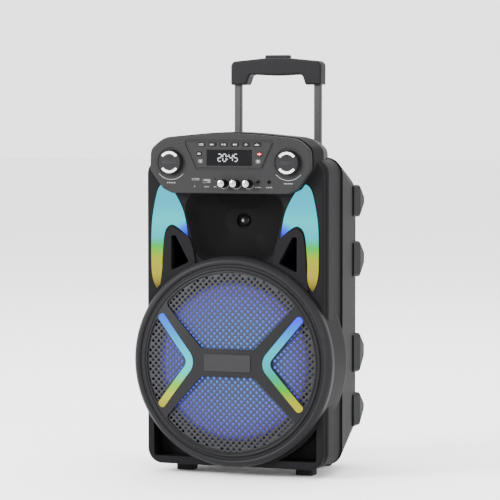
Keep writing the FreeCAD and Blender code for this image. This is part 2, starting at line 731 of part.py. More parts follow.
def chevron_solid(half_width, d0, d1):
    """Right chevron strip of a given half width, rounded at its bend and ends."""
    (x1, z1), (x2, z2), (x3, z3) = CHEVRON
    run = math.hypot(x1 - x2, z1)
    ux, uz = (x1 - x2) / run, z1 / run
    reach = half_width / uz
    tip_x, tip_z = x1 + ux * half_width * 0.2, z1 + uz * half_width * 0.2
    across_x, across_z = uz * half_width, -ux * half_width
    corners = [
        (x2 - reach, 0.0),
        (tip_x - across_x, -(tip_z - across_z)),
        (tip_x + across_x, -(tip_z + across_z)),
        (x2 + reach, 0.0),
        (tip_x + across_x, tip_z + across_z),
        (tip_x - across_x, tip_z - across_z),
    ]
    end = half_width * 0.8
    radii = [CHEVRON_BEND + 2 * half_width, end, end, CHEVRON_BEND, end, end]
    placed = [(x, WOOFER_Z + z) for x, z in corners]
    return pad(placed, radii, d0, d1)


def brace_shell(front, back):
    """Domed layer between two depths below the brace's front surface."""
    layer = cap_ball(BRACE_BALL - front, front).cut(cap_ball(BRACE_BALL - back, back))
    return layer.common(disc(200, -20, 60))


def chevron_parts():
    lens = chevron_solid(LENS_HALF, -20, 60).common(brace_shell(-1.0, 2.2))
    board = chevron_solid(CHEVRON_BOARD_HALF, -20, 60).common(brace_shell(2.3, 3.2))
    save("right_chevron_lens", lens)
    save("left_chevron_lens", mirrored(lens))
    back_plate = slab(light_wire(FACE_DEPTH + 4, 1.02), 1.6)
    back_plate = back_plate.common(box(0, HALF_WIDTH - WALL - EPS, 0, 60, 300, 600))
    back_plate = back_plate.cut(horn_recess(WALL + EPS))
    save("light_boards", board, mirrored(board), back_plate, mirrored(back_plate))


def light_ring():
    save("light_ring", annulus(156.5, 150.0, 31.0, 35.0))


# ---------------------------------------------------------------- grille

def window_top():
    """Upper grille window, rounded at its corners."""
    reach = 175.0
    half, low = 49.0, 24.5
    high = low + reach * 1.04
    corners = [(-half, low), (half, low), (half + reach, high), (-half - reach, high)]
    wedge = pad([(x, WOOFER_Z + z) for x, z in corners], [9, 9, 1, 1], -20, 60)
    piece = wedge.common(disc(WINDOW_RADIUS, -20, 60))
    upright = [e for e in piece.Edges if e.BoundBox.YLength > 50 and e.BoundBox.XLength < 0.1]
    sharp = [e for e in upright if e.BoundBox.ZMin > WOOFER_Z + 90]
    return piece.makeFillet(8.0, sharp)


def window_side():
    """Right grille window, outside the chevron."""
    (x1, z1), (x2, _), _ = CHEVRON
    run = math.hypot(x1 - x2, z1)
    rise = z1 / run
    vertex = x2 + WINDOW_EDGE / rise
    slope = z1 / (x1 - x2)
    reach = 110.0
    corners = [(vertex, 0), (vertex + reach, -reach * slope), (vertex + reach, reach * slope)]
    wedge = pad([(x, WOOFER_Z + z) for x, z in corners], [14, 1, 1], -20, 60)
    piece = wedge.common(disc(WINDOW_RADIUS, -20, 60))
    upright = [e for e in piece.Edges if e.BoundBox.YLength > 50 and e.BoundBox.XLength < 0.1]
    sharp = [e for e in upright if abs(e.BoundBox.ZMin - WOOFER_Z) > 60]
    return piece.makeFillet(4.0, sharp)


def ring_profile():
    lip = WINDOW_RADIUS + 0.5
    bore = MESH_RADIUS + 0.5
    return [
        ((lip, 19.4), (lip, 17.6)),
        ((lip, 17.6), (163.4, 17.2)),
        ((163.4, 17.2), (165.7, 15.2), (168.2, 17.4)),
        ((168.2, 17.4), (169.2, 20.0)),
        ((169.2, 20.0), (173.0, 20.0)),
        ((173.0, 20.0), (174.2, 18.2)),
        ((174.2, 18.2), (178.4, 16.2), (182.6, 18.4)),
        ((182.6, 18.4), (187.0, 24.5), (RING_RADIUS, 31.5)),
        ((RING_RADIUS, 31.5), (RING_RADIUS, RING_BACK_DEPTH)),
        ((RING_RADIUS, RING_BACK_DEPTH), (bore, RING_BACK_DEPTH)),
        ((bore, RING_BACK_DEPTH), (bore, 19.4)),
        ((bore, 19.4), (lip, 19.4)),
    ]


def grille_frame():
    ring = spun(ring_profile())
    brace = cap_ball(BRACE_BALL, 0.0).cut(cap_ball(MESH_BALL, MESH_FRONT - 0.5))
    brace = brace.common(disc(WINDOW_RADIUS + 2.0, -20, 60))
    top = window_top()
    bottom = top.mirror(point(0, WOOFER_Z, 0), UP)
    side = window_side()
    for window in (top, bottom, side, mirrored(side)):
        brace = brace.cut(window)
    channel = chevron_solid(CHANNEL_HALF, -20, 60).common(brace_shell(-6.0, 3.4))
    plate_seat = rounded_box(0, WOOFER_Z, 89.0, 31.5, 3, -20, 1.0)
    brace = brace.cut(channel).cut(mirrored(channel)).cut(plate_seat)
    save("grille_frame", fused(ring, brace))


def name_plate():
    plate = rounded_box(0, WOOFER_Z, 88.0, 30.5, 2.5, -0.4, 1.0)
    save("name_plate", plate.makeFillet(0.5, edges_at_depth(plate, -0.4)))


def grille_mesh():
    front = cap_ball(MESH_BALL, MESH_FRONT)
    back = cap_ball(MESH_BALL - 1.2, MESH_FRONT + 1.2)
    save("grille_mesh", front.cut(back).common(disc(MESH_RADIUS, -20, 60)))


# ---------------------------------------------------------------- drivers

def woofer_basket():
    flange = annulus(FLANGE_RADIUS, 137.0, 35.0, RING_BACK_DEPTH)
    wall_points = [
        (137.0, 36.0), (139.6, 36.0), (139.6, 46.0), (72.0, 104.0),
        (62.0, 104.0), (62.0, 100.0), (69.0, 100.0), (137.0, 42.0),
    ]
    frame = fused(flange, spun(lines(wall_points)))
    frame = fused(frame, annulus(70.0, 29.0, 100.0, 104.0))
    for i in range(6):
        turn = 60.0 * i
        slot = box(-24, 24, 50, 96, WOOFER_Z + 60, WOOFER_Z + 135)
        slot.rotate(point(0, WOOFER_Z, 0), BACKWARD, turn)
        frame = frame.cut(slot)
    for x, z in woofer_screw_places():
        frame = frame.cut(disc(SCREW_SHANK + 0.3, 30, 42, x, z))
    save("woofer_basket", frame)


def woofer_motor():
    ring = annulus(68.0, 32.0, 104.0, 122.0)
    back = disc(62.0, 122.0, 128.0)
    pole = disc(24.5, 99.0, 122.5)
    save("woofer_magnet", fused(ring, back, pole))
    save("voice_coil", annulus(28.1, 25.8, 81.4, 112.0))
    save("spider", annulus(76.8, 28.4, 92.0, 93.2))


def woofer_cone():
    outer_radius, outer_depth = 117.0, 43.0
    inner_radius, inner_depth = 30.5, 83.0
    wall = 1.6
    neck = inner_radius - 2.4
    cone = spun(lines([
        (outer_radius, outer_depth), (inner_radius, inner_depth), (neck, inner_depth),
        (neck, inner_depth - wall), (inner_radius, inner_depth - wall - 0.6),
        (outer_radius - 1.0, outer_depth - wall),
    ]))
    cap_reach, cap_rise, cap_depth = 46.0, 15.0, 74.4
    ball = dome_radius(cap_rise, cap_reach)
    dome = cap_ball(ball, cap_depth - cap_rise).cut(cap_ball(ball - 1.2, cap_depth - cap_rise + 1.2))
    dome = dome.common(disc(cap_reach + 1.5, 40, cap_depth + 0.6))
    cone_room = spun(lines([
        (outer_radius, outer_depth), (inner_radius, inner_depth), (0.0, inner_depth),
        (0.0, 130.0), (outer_radius, 130.0),
    ]))
    dome = dome.cut(cone_room)
    save("woofer_cone", fused(cone, dome))


def surround():
    roll = [
        ((117.3, 40.9), (127.0, 34.5), (136.6, 40.9)),
        ((136.6, 40.9), (136.6, 42.0)),
        ((136.6, 42.0), (127.0, 35.9), (117.3, 42.2)),
        ((117.3, 42.2), (117.3, 40.9)),
    ]
    save("surround", spun(roll))


def tweeter():
    back = THROAT_DEPTH + WALL
    flange = annulus(38.0, THROAT_RADIUS - 1, back, back + 3.0, 0, HORN_Z)
    body = disc(32.0, back + 3.0, back + 24.0, 0, HORN_Z)
    save("tweeter", fused(flange, body))
    base = back + 3.0
    ball = Part.makeSphere(13.0, point(0, HORN_Z, base + 6.0))
    ball = ball.common(disc(11.0, base - 12, base, 0, HORN_Z))
    tip = disc(2.6, base - 12.0, base - 5.0, 0, HORN_Z)
    tip = tip.makeFillet(1.6, edges_at_depth(tip, base - 12.0))
    save("tweeter_dome", fused(ball, tip))


def port_tubes():
    duct = port_hole(2.2, FACE_DEPTH + 4, 118).cut(port_hole(0, FACE_DEPTH, 120))
    save("port_tubes", duct, mirrored(duct))


# ---------------------------------------------------------------- inside

def electronics():
    board = box(-70, 70, 225.4, 227, 330, 450)
    parts = [
        box(20, 44, 205, 225.6, 344, 368),
        box(-58, -30, 209, 225.6, 340, 362),
        *[disc(6.5, 203, 225.6, x, 352) for x in (-16, 0)],
    ]
    save("amplifier_board", fused(board, *parts))
    base = box(-56, 56, 221, 225.4, 384, 436)
    fins = [box(x, x + 2, 198, 221.5, 384, 436) for x in range(-56, 56, 9)]
    save("heat_sink", fused(base, *fins))
    pack = box(-74, 74, 143, 208, 48, 142)
    pack = pack.makeFillet(3.0, [e for e in pack.Edges if e.BoundBox.ZLength > 50])
    terminals = [box(x - 3, x + 3, 150, 156, 141, 148) for x in (-55, 55)]
    save("battery", fused(pack, *terminals))


# ---------------------------------------------------------------- feet and wheels

def front_feet():
    feet = []
    for x in (-FOOT_X, FOOT_X):
        foot = box(x - 16, x + 16, FOOT_DEPTH - 14, FOOT_DEPTH + 14, 0, BOTTOM)
        foot = foot.makeFillet(4.0, [e for e in foot.Edges if e.BoundBox.ZLength > 10])
        foot = foot.makeFillet(1.5, [e for e in foot.Edges if e.BoundBox.ZMax < 0.01])
        feet.append(foot)
    save("front_feet", *feet)


def wheel(name, x):
    start = V(x - WHEEL_WIDTH / 2, deep(WHEEL_DEPTH), WHEEL_RADIUS)
    hub = Part.makeCylinder(HUB_RADIUS, WHEEL_WIDTH, start, SIDEWAYS)
    for side in (0, WHEEL_WIDTH - 4):
        dish = Part.makeCylinder(18.0, 4, start + V(side, 0, 0), SIDEWAYS)
        dish = dish.cut(Part.makeCylinder(8.0, 4, start + V(side, 0, 0), SIDEWAYS))
        hub = hub.cut(dish)
    bore = Part.makeCylinder(AXLE_RADIUS + 0.06, WHEEL_WIDTH + 2, start - V(1, 0, 0), SIDEWAYS)
    tyre = Part.makeCylinder(WHEEL_RADIUS, WHEEL_WIDTH, start, SIDEWAYS)
    tyre = tyre.makeFillet(2.5, tyre.Edges[0:1] + tyre.Edges[2:3])
    tyre = tyre.cut(Part.makeCylinder(HUB_RADIUS, WHEEL_WIDTH + 2, start - V(1, 0, 0), SIDEWAYS))
    save(name, hub.cut(bore), tyre)


def wheels():
    wheel("left_wheel", -WHEEL_X)
    wheel("right_wheel", WHEEL_X)
    axles = []
    for side in (-1, 1):
        near = WHEEL_X - WHEEL_WIDTH / 2 - 6.5
        start = V(near, deep(WHEEL_DEPTH), WHEEL_RADIUS)
        axle = Part.makeCylinder(AXLE_RADIUS, WHEEL_WIDTH + 13, start, SIDEWAYS)
        axles.append(axle if side > 0 else mirrored(axle))
    save("wheel_axles", *axles)


# ---------------------------------------------------------------- handle

def upright_block(x, wide, thick, z0, z1):
    """Upright block centred on the handle's depth."""
    front, back = HANDLE_DEPTH - thick / 2, HANDLE_DEPTH + thick / 2
    return box(x - wide / 2, x + wide / 2, front, back, z0, z1)


def upright_edges(shape):
    return [e for e in shape.Edges if e.BoundBox.ZLength > 5 and e.BoundBox.XLength < 0.1]


def flat_tube(x, size, z0, z1):
    """Outer and inner solids of a rounded rectangular tube."""
    wide, thick, wall = size
    outer = upright_block(x, wide, thick, z0, z1)
    outer = outer.makeFillet(2.5, upright_edges(outer))
    inner = upright_block(x, wide - 2 * wall, thick - 2 * wall, z0 - 1, z1 + 4)
    inner = inner.makeFillet(2.0, upright_edges(inner))
    return outer, inner


def handle():
    sleeves, tubes, rods, pins = [], [], [], []
    pin_end = HANDLE_DEPTH + TUBE[1] / 2 + 0.2
    for x in (-HANDLE_X, HANDLE_X):
        outer, inner = flat_tube(x, SLEEVE, SLEEVE_BOTTOM, SLEEVE_TOP)
        collar = sleeve_collar(x, SLEEVE_TOP - 10, SLEEVE_TOP + 2)
        sleeve = fused(outer, collar).cut(inner)
        for z in LOCK_HEIGHTS:
            sleeve = sleeve.cut(disc(PIN_RADIUS + 0.4, HANDLE_DEPTH, HANDLE_DEPTH + 20, x, z))
        sleeves.append(sleeve)
        outer, inner = flat_tube(x, TUBE, TUBE_BOTTOM, GRIP_BOTTOM + 14)
        tube = outer.cut(inner)
        tube = tube.cut(disc(PIN_RADIUS + 0.08, HANDLE_DEPTH, HANDLE_DEPTH + 20, x, PIN_Z))
        tubes.append(tube)
        rods.append(rod_up(x, HANDLE_DEPTH, PIN_Z + PIN_RADIUS + 4.2, GRIP_TOP - 12, 2.0))
        pins.append(disc(PIN_RADIUS, pin_end - PIN_LENGTH, pin_end, x, PIN_Z))
    save("handle_sleeves", *sleeves)
    save("handle_tubes", *tubes)
    save("lock_pins", *pins)
    bar = upright_block(0, 2 * HANDLE_X + 8, 6.0, GRIP_TOP - 14, GRIP_TOP - 9)
    save("push_rods", fused(bar, *rods))


def sleeve_collar(x, z0, z1):
    """Mouth of a sleeve, a little thicker to the back."""
    half_wide, half_thick = 13.0, 6.95
    front, back = HANDLE_DEPTH - half_thick, HANDLE_DEPTH + half_thick + 2
    block = box(x - half_wide, x + half_wide, front, back, z0, z1)
    return block.makeFillet(3.0, upright_edges(block))


def grip():
    front, back = HANDLE_DEPTH - GRIP_THICK / 2, HANDLE_DEPTH + GRIP_THICK / 2
    corners = [
        (-GRIP_HALF, GRIP_BOTTOM), (-58, GRIP_BOTTOM), (-51, GRIP_UNDER), (0, GRIP_UNDER - 2.5),
        (51, GRIP_UNDER), (58, GRIP_BOTTOM), (GRIP_HALF, GRIP_BOTTOM), (GRIP_HALF, GRIP_SHOULDER),
        (24, GRIP_TOP), (-24, GRIP_TOP), (-GRIP_HALF, GRIP_SHOULDER),
    ]
    whole = pad(corners, [3, 3, 7, 200, 7, 3, 3, 10, 20, 20, 10], front, back)
    whole = whole.makeFillet(4.0, edges_at_depth(whole, front) + edges_at_depth(whole, back))
    room = box(-84, 84, HANDLE_DEPTH - 10, HANDLE_DEPTH + 10, GRIP_UNDER + 4, GRIP_TOP - 8.2)
    slot = button_block(49.0, 17.0, GRIP_TOP - 9, GRIP_TOP + 2)
    whole = whole.cut(room).cut(slot)
    for x in (-HANDLE_X, HANDLE_X):
        outer, _ = flat_tube(x, TUBE, GRIP_BOTTOM - 1, GRIP_BOTTOM + 14)
        whole = whole.cut(outer)
        whole = whole.cut(rod_up(x, HANDLE_DEPTH, GRIP_BOTTOM, GRIP_UNDER + 6, 3.0))
    save("handle_grip", whole)


def release_parts():
    button_solid = button_block(48.0, 16.0, GRIP_TOP - 9, GRIP_TOP + 6)
    crown = [e for e in button_solid.Edges if e.BoundBox.ZMin > GRIP_TOP + 5.9]
    save("release_button", button_solid.makeFillet(2.5, crown))
    base = GRIP_UNDER + 4.9
    coil = Part.makeHelix(SPRING_PITCH, SPRING_HEIGHT, SPRING_RADIUS)
    coil.translate(V(0, deep(HANDLE_DEPTH), base))
    start = coil.Edges[0].valueAt(coil.Edges[0].FirstParameter)
    tangent = coil.Edges[0].tangentAt(coil.Edges[0].FirstParameter)
    section = Part.Wire(Part.Circle(start, tangent, SPRING_WIRE).toShape())
    save("release_spring", Part.Wire(coil.Edges).makePipeShell([section], True, True))


def button_block(wide, thick, z0, z1):
    """Rounded block in the middle of the grip's top."""
    block = upright_block(0, wide, thick, z0, z1)
    return block.makeFillet(4.0, upright_edges(block))


def main():
    os.makedirs("parts", exist_ok=True)
    front_cabinet()
    rear_shell()
    control_panel()
    panel_bezel()
    display()
    buttons()
    control_board()
    potentiometers()
    knobs()
    sockets()
    panel_screws()
    cabinet_screws()
    fang_lights()
    chevron_parts()
    light_ring()
    grille_frame()
    name_plate()
    grille_mesh()
    woofer_basket()
    woofer_motor()
    woofer_cone()
    surround()
    tweeter()
    port_tubes()
    electronics()
    front_feet()
    wheels()
    handle()
    grip()
    release_parts()


main()
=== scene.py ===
"""Finishes and fine detail of a trolley party speaker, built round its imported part."""

import math

import bmesh
import bpy
from bpy.props import FloatProperty, FloatVectorProperty, PointerProperty
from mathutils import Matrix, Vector


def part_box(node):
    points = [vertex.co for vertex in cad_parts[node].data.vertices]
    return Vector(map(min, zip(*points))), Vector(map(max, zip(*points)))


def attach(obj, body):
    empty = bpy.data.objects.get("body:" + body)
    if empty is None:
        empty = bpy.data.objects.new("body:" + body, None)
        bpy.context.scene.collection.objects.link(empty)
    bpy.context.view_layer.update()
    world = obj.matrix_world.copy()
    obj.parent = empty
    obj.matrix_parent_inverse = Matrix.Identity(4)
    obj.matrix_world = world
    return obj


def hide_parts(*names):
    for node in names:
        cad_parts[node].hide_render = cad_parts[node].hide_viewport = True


bl_info = {
    "name": "Party speaker",
    "version": (1, 0, 0),
    "blender": (4, 5, 0),
    "location": "View3D > Sidebar > Party speaker",
    "description": "Finishes and fine detail of a trolley party speaker",
    "category": "Object",
}

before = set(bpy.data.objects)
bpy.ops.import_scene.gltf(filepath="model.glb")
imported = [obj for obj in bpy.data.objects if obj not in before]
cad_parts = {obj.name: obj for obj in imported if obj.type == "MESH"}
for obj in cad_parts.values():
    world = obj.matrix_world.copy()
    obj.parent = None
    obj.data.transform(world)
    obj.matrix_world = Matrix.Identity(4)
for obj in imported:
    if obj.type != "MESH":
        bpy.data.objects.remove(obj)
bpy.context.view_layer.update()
MM = 0.001

TOP_BUTTONS = (
    "mode_button",
    "previous_button",
    "play_button",
    "next_button",
    "repeat_button",
    "tone_button",
)
BIG_KNOBS = ("mic_volume_knob", "volume_knob")
SMALL_KNOBS = ("echo_knob", "treble_knob", "bass_knob")

# Camera: degrees round and above the object, then metres and millimetres of lens.
CAMERA_AZIMUTH = 20.98
CAMERA_ELEVATION = 2.87
CAMERA_DISTANCE = 4.86
CAMERA_TARGET = (0.0459, -0.1558, 0.4052)
CAMERA_LENS = 199.6
SENSOR_WIDTH = 36.0

# Studio: each soft box is its name, place, target, side in metres and power in watts.
SOFT_BOXES = (
    ("key", (-2.4, -2.9, 1.9), (0, 0, 0.35), 1.6, 320.0),
    ("edge", (2.8, -2.0, 1.2), (0, 0, 0.30), 0.35, 60.0),
    ("overhead", (0.0, 1.6, 4.2), (0, 0.6, 0.0), 4.0, 260.0),
)
SKY_STRENGTH = 2.6
FLOOR_SIZE = 60.0
FLOOR_DROP = 0.0005

# Panel: how deep a printed mark is sunk, and the middle of the memory-stick slot.
INK_SUNK = 0.0002
STICK_SLOT_X = -0.043
STICK_SLOT_Z = 0.525

# Lamps: heights between which their colours run, and the blue upper tip of a fang.
FANG_LOW, FANG_HIGH = 0.325, 0.485
FANG_TIP_X, FANG_TIP_Z = 0.088, 0.424
CHEVRON_REACH = 0.090
FANG_STRENGTH = 2.9
CHEVRON_STRENGTH = 3.0


# ---------------------------------------------------------------- shader sums


class Wire:
    """One shader socket, so that sums on it are written as Python sums."""

    def __init__(self, tree, socket):
        self.tree = tree
        self.socket = socket

    def math(self, operation, first, second=0.0):
        node = self.tree.nodes.new("ShaderNodeMath")
        node.operation = operation
        for place, value in zip(node.inputs, (first, second)):
            if isinstance(value, Wire):
                self.tree.links.new(value.socket, place)
            else:
                place.default_value = value
        return Wire(self.tree, node.outputs[0])

    def __add__(self, other):
        return self.math("ADD", self, other)

    def __radd__(self, other):
        return self.math("ADD", other, self)

    def __sub__(self, other):
        return self.math("SUBTRACT", self, other)

    def __rsub__(self, other):
        return self.math("SUBTRACT", other, self)

    def __mul__(self, other):
        return self.math("MULTIPLY", self, other)

    def __rmul__(self, other):
        return self.math("MULTIPLY", other, self)

    def __truediv__(self, other):
        return self.math("DIVIDE", self, other)

    def __pow__(self, other):
        return self.math("POWER", self, other)

    def __abs__(self):
        return self.math("ABSOLUTE", self)

    def floor_mod(self, size):
        return self.math("FLOORED_MODULO", self, size)

    def larger(self, other):
        return self.math("MAXIMUM", self, other)

    def above(self, level):
        return self.math("GREATER_THAN", self, level)


class Finish:
    """A named material with one surface shader, whose other nodes come from node()."""

    def __init__(self, name, **uniform):
        self.material = bpy.data.materials.new(name)
        self.material.use_nodes = True
        self.tree = self.material.node_tree
        self.tree.nodes.clear()
        output = self.tree.nodes.new("ShaderNodeOutputMaterial")
        self.shader = self.tree.nodes.new("ShaderNodeBsdfPrincipled")
        self.tree.links.new(self.shader.outputs[0], output.inputs[0])
        for socket, value in uniform.items():
            self.set(socket.replace("_", " ").title().replace("Ior", "IOR"), value)

    def set(self, socket, value):
        place = self.shader.inputs[socket]
        if isinstance(value, Wire):
            self.tree.links.new(value.socket, place)
        elif isinstance(value, (tuple, list)) and len(value) == 3:
            place.default_value = (*value, 1.0)
        else:
            place.default_value = value

    def node(self, kind, settings=None, sockets=None, output=0):
        made = self.tree.nodes.new("ShaderNode" + kind)
        for name, value in (settings or {}).items():
            if name == "stops":
                self.stops(made.color_ramp, value)
            else:
                setattr(made, name, value)
        for name, value in (sockets or {}).items():
            place = made.inputs[name]
            if isinstance(value, Wire):
                self.tree.links.new(value.socket, place)
            elif isinstance(value, (tuple, list)) and len(value) == 3 and place.type == "RGBA":
                place.default_value = (*value, 1.0)
            else:
                place.default_value = value
        return Wire(self.tree, made.outputs[output])

    @staticmethod
    def stops(ramp, stops):
        while len(ramp.elements) < len(stops):
            ramp.elements.new(0.5)
        for element, (place, colour) in zip(ramp.elements, stops):
            element.position = place
            element.color = (*colour, 1.0)

    def place(self):
        return self.node("TexCoord", output="Object")

    def axes(self):
        """The x, y and z of a point on the surface, in metres."""
        apart = self.node("SeparateXYZ", sockets={0: self.place()})
        return [Wire(self.tree, socket) for socket in apart.socket.node.outputs]

    def noise(self, scale, detail=2.0, roughness=0.5, stretch=None):
        place = self.place()
        if stretch:
            place = self.node("VectorMath", {"operation": "MULTIPLY"}, {0: place, 1: stretch})
        return self.node(
            "TexNoise",
            sockets={"Vector": place, "Scale": scale, "Detail": detail, "Roughness": roughness},
        )

    def cells(self, scale, feature="F1"):
        return self.node(
            "TexVoronoi", {"feature": feature}, {"Vector": self.place(), "Scale": scale}
        )

    def blend(self, factor, low, high):
        """A colour that runs from low to high as the factor goes from 0 to 1."""
        return self.node("Mix", {"data_type": "RGBA"}, {0: factor, 6: low, 7: high}, output=2)

    def ramp(self, factor, stops):
        return self.node("ValToRGB", {"stops": stops}, {0: factor})

    def step(self, value, low, high):
        """A smooth step of a value from 0 at low to 1 at high."""
        return self.node(
            "MapRange",
            {"interpolation_type": "SMOOTHSTEP"},
            {"Value": value, "From Min": low, "From Max": high},
        )

    def bump(self, height, strength, distance):
        self.set(
            "Normal",
            self.node(
                "Bump",
                sockets={"Height": height, "Strength": strength, "Distance": distance},
                output="Normal",
            ),
        )


def span(run, rise):
    """Distance of a point on the surface, from its two parts."""
    return (run * run + rise * rise) ** 0.5


def tinted(colour, share):
    return tuple(channel * share for channel in colour)


def moulded(name, colour, roughness, grain=2600.0, depth=0.00006, gloss=0.07):
    """Injection-moulded plastic with a spark-etched grain and a faintly uneven sheen."""
    finish = Finish(name, specular_ior_level=gloss)
    cloud = finish.noise(14.0, 3.0, 0.6)
    fine = finish.noise(grain, 2.0, 0.55)
    dust = finish.step(finish.noise(220.0, 2.0, 0.7), 0.56, 0.78)
    tone = finish.blend(cloud, tinted(colour, 0.90), tinted(colour, 1.10))
    pale = tuple(channel + 0.004 for channel in colour)
    finish.set("Base Color", finish.blend(dust * 0.35, tone, pale))
    finish.set("Roughness", roughness - 0.05 + cloud * 0.07 + fine * 0.06 + dust * 0.05)
    finish.bump(fine + cloud * 0.4, 0.35, depth)
    return finish.material


def brushed(name, colour, roughness, stretch, metallic=1.0):
    """Metal with fine lines drawn along its length."""
    finish = Finish(name, metallic=metallic)
    lines = finish.noise(900.0, 3.0, 0.6, stretch)
    cloud = finish.noise(18.0, 2.0, 0.5)
    finish.set("Base Color", finish.blend(lines, tinted(colour, 0.82), tinted(colour, 1.12)))
    finish.set("Roughness", roughness - 0.04 + lines * 0.12 + cloud * 0.05)
    finish.bump(lines, 0.25, 0.00004)
    return finish.material


def rubber(name, colour, roughness=0.72, grain=1200.0):
    """Moulded rubber with a dull bloom and a little dust."""
    finish = Finish(name, specular_ior_level=0.15)
    cloud = finish.noise(30.0, 3.0, 0.6)
    fine = finish.noise(grain, 3.0, 0.6)
    dust = finish.step(finish.noise(160.0, 3.0, 0.7), 0.5, 0.75)
    tone = finish.blend(cloud, tinted(colour, 0.8), tinted(colour, 1.2))
    finish.set("Base Color", finish.blend(dust * 0.3, tone, (0.02, 0.019, 0.018)))
    finish.set("Roughness", roughness - 0.05 + fine * 0.15)
    finish.bump(fine, 0.4, 0.00012)
    return finish.material


def printed_ink(name, colour, glow=0.0):
    """Pad-printed ink, a little uneven where it crosses the grain below."""
    finish = Finish(name)
    wear = finish.noise(900.0, 3.0, 0.7)
    finish.set("Base Color", finish.blend(wear, tinted(colour, 0.86), colour))
    finish.set("Roughness", 0.42 + wear * 0.14)
    if glow:
        finish.set("Emission Color", finish.blend(wear, tinted(colour, 0.9), colour))
        finish.set("Emission Strength", glow)
    finish.bump(wear, 0.15, 0.00003)
    return finish.material


# ---------------------------------------------------------------- mesh making


def keep(name, mesh, finish, body):
    """Adds a finished mesh to the scene as a piece that rides on a body."""
    made = bpy.data.objects.new(name, mesh)
    bpy.context.scene.collection.objects.link(made)
    mesh.materials.append(finish)
    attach(made, body)
    return made


def from_bmesh(name, bm, smooth_angle=35.0):
    bmesh.ops.recalc_face_normals(bm, faces=bm.faces)
    mesh = bpy.data.meshes.new(name)
    bm.to_mesh(mesh)
    bm.free()
    for polygon in mesh.polygons:
        polygon.use_smooth = True
    mesh.set_sharp_from_angle(angle=math.radians(smooth_angle))
    return mesh


def plate_of(bm, outline, front, back, bevel=0.0):
    """Adds an upright plate: an outline of (x, z) between two depths along Y."""
    near = [bm.verts.new((x, front, z)) for x, z in outline]
    far = [bm.verts.new((x, back, z)) for x, z in outline]
    faces = [bm.faces.new(near), bm.faces.new(far)]
    count = len(outline)
    for i in range(count):
        j = (i + 1) % count
        faces.append(bm.faces.new((near[i], near[j], far[j], far[i])))
    if bevel:
        edges = list(faces[0].edges)
        bmesh.ops.bevel(bm, geom=edges, offset=bevel, segments=2, profile=0.6, affect="EDGES")
    return faces


def arc_band(x, z, inner, outer, start, end, steps):
    """Outline of a band between two radii, from one angle to another in degrees."""
    turns = [math.radians(start + (end - start) * i / steps) for i in range(steps + 1)]
    outside = [(x + outer * math.cos(t), z + outer * math.sin(t)) for t in turns]
    inside = [(x + inner * math.cos(t), z + inner * math.sin(t)) for t in reversed(turns)]
    return outside + inside


def circle(x, z, radius, steps=24):
    return [
        (
            x + radius * math.cos(2 * math.pi * i / steps),
            z + radius * math.sin(2 * math.pi * i / steps),
        )
        for i in range(steps)
    ]


def bar(x0, x1, z0, z1):
    return [(x0, z0), (x1, z0), (x1, z1), (x0, z1)]


def plates(name, outlines, front, back, finish, body, bevel=0.0):
    """One piece made of several flat upright plates."""
    bm = bmesh.new()
    for outline in outlines:
        plate_of(bm, outline, front, back, bevel)
    return keep(name, from_bmesh(name, bm), finish, body)


def lathe(bm, centre, axis, profile, steps=48):
    """Adds a turned form: (radius, distance along the axis) pairs round a centre.

    A profile that starts and ends at radius 0 is closed; any other is joined end to end.
    """
    forward = Vector(axis).normalized()
    side = Vector((0, 0, 1)) if abs(forward.z) < 0.5 else Vector((1, 0, 0))
    across = forward.cross(side).normalized()
    rings = []
    for radius, along in profile:
        middle = Vector(centre) + forward * along
        if radius == 0:
            rings.append([bm.verts.new(middle)])
            continue
        rings.append(
            [
                bm.verts.new(
                    middle
                    + (across * math.cos(2 * math.pi * i / steps)
                       + side * math.sin(2 * math.pi * i / steps)) * radius
                )
                for i in range(steps)
            ]
        )
    pairs = list(zip(rings, rings[1:]))
    if profile[0][0] and profile[-1][0]:
        pairs.append((rings[-1], rings[0]))
    for one, two in pairs:
        for i in range(steps):
            j = (i + 1) % steps
            if len(one) == 1:
                bm.faces.new((one[0], two[j], two[i]))
            elif len(two) == 1:
                bm.faces.new((one[i], one[j], two[0]))
            else:
                bm.faces.new((one[i], one[j], two[j], two[i]))


def turned(name, centre, axis, profile, finish, body, steps=48, smooth_angle=35.0):
    bm = bmesh.new()
    lathe(bm, centre, axis, profile, steps)
    return keep(name, from_bmesh(name, bm, smooth_angle), finish, body)


def middle_of(node):
    low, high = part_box(node)
    return (low + high) / 2


def paint(finish, *nodes):
    """Gives CAD nodes a finish in place of their plain one."""
    for name in nodes:
        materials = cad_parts[name].data.materials
        for i in range(len(materials)):
            materials[i] = finish


# ---------------------------------------------------------------- properties


def length(name, description, default):
    return FloatProperty(
        name=name, description=description, default=default, unit="LENGTH", precision=5
    )


def colour(name, description, default):
    return FloatVectorProperty(
        name=name, description=description, default=default, subtype="COLOR", min=0.0, max=1.0
    )


class SpeakerSizes(bpy.types.PropertyGroup):
    """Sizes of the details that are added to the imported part."""

    mesh_pitch: length("Mesh pitch", "Distance between neighbouring holes of the grille", 0.0081)
    mesh_hole: length("Mesh hole", "Diameter of a hole in the grille", 0.0052)
    mesh_thickness: length("Mesh thickness", "Thickness of the grille's steel sheet", 0.0010)
    ink_height: length("Ink height", "How far printed marks stand above the plastic", 0.00012)
    digit_width: length("Digit width", "Width of one digit on the display", 0.0064)
    digit_height: length("Digit height", "Height of one digit on the display", 0.0128)
    arc_radius: length("Arc radius", "Outer radius of the bright arcs on a large knob", 0.0192)


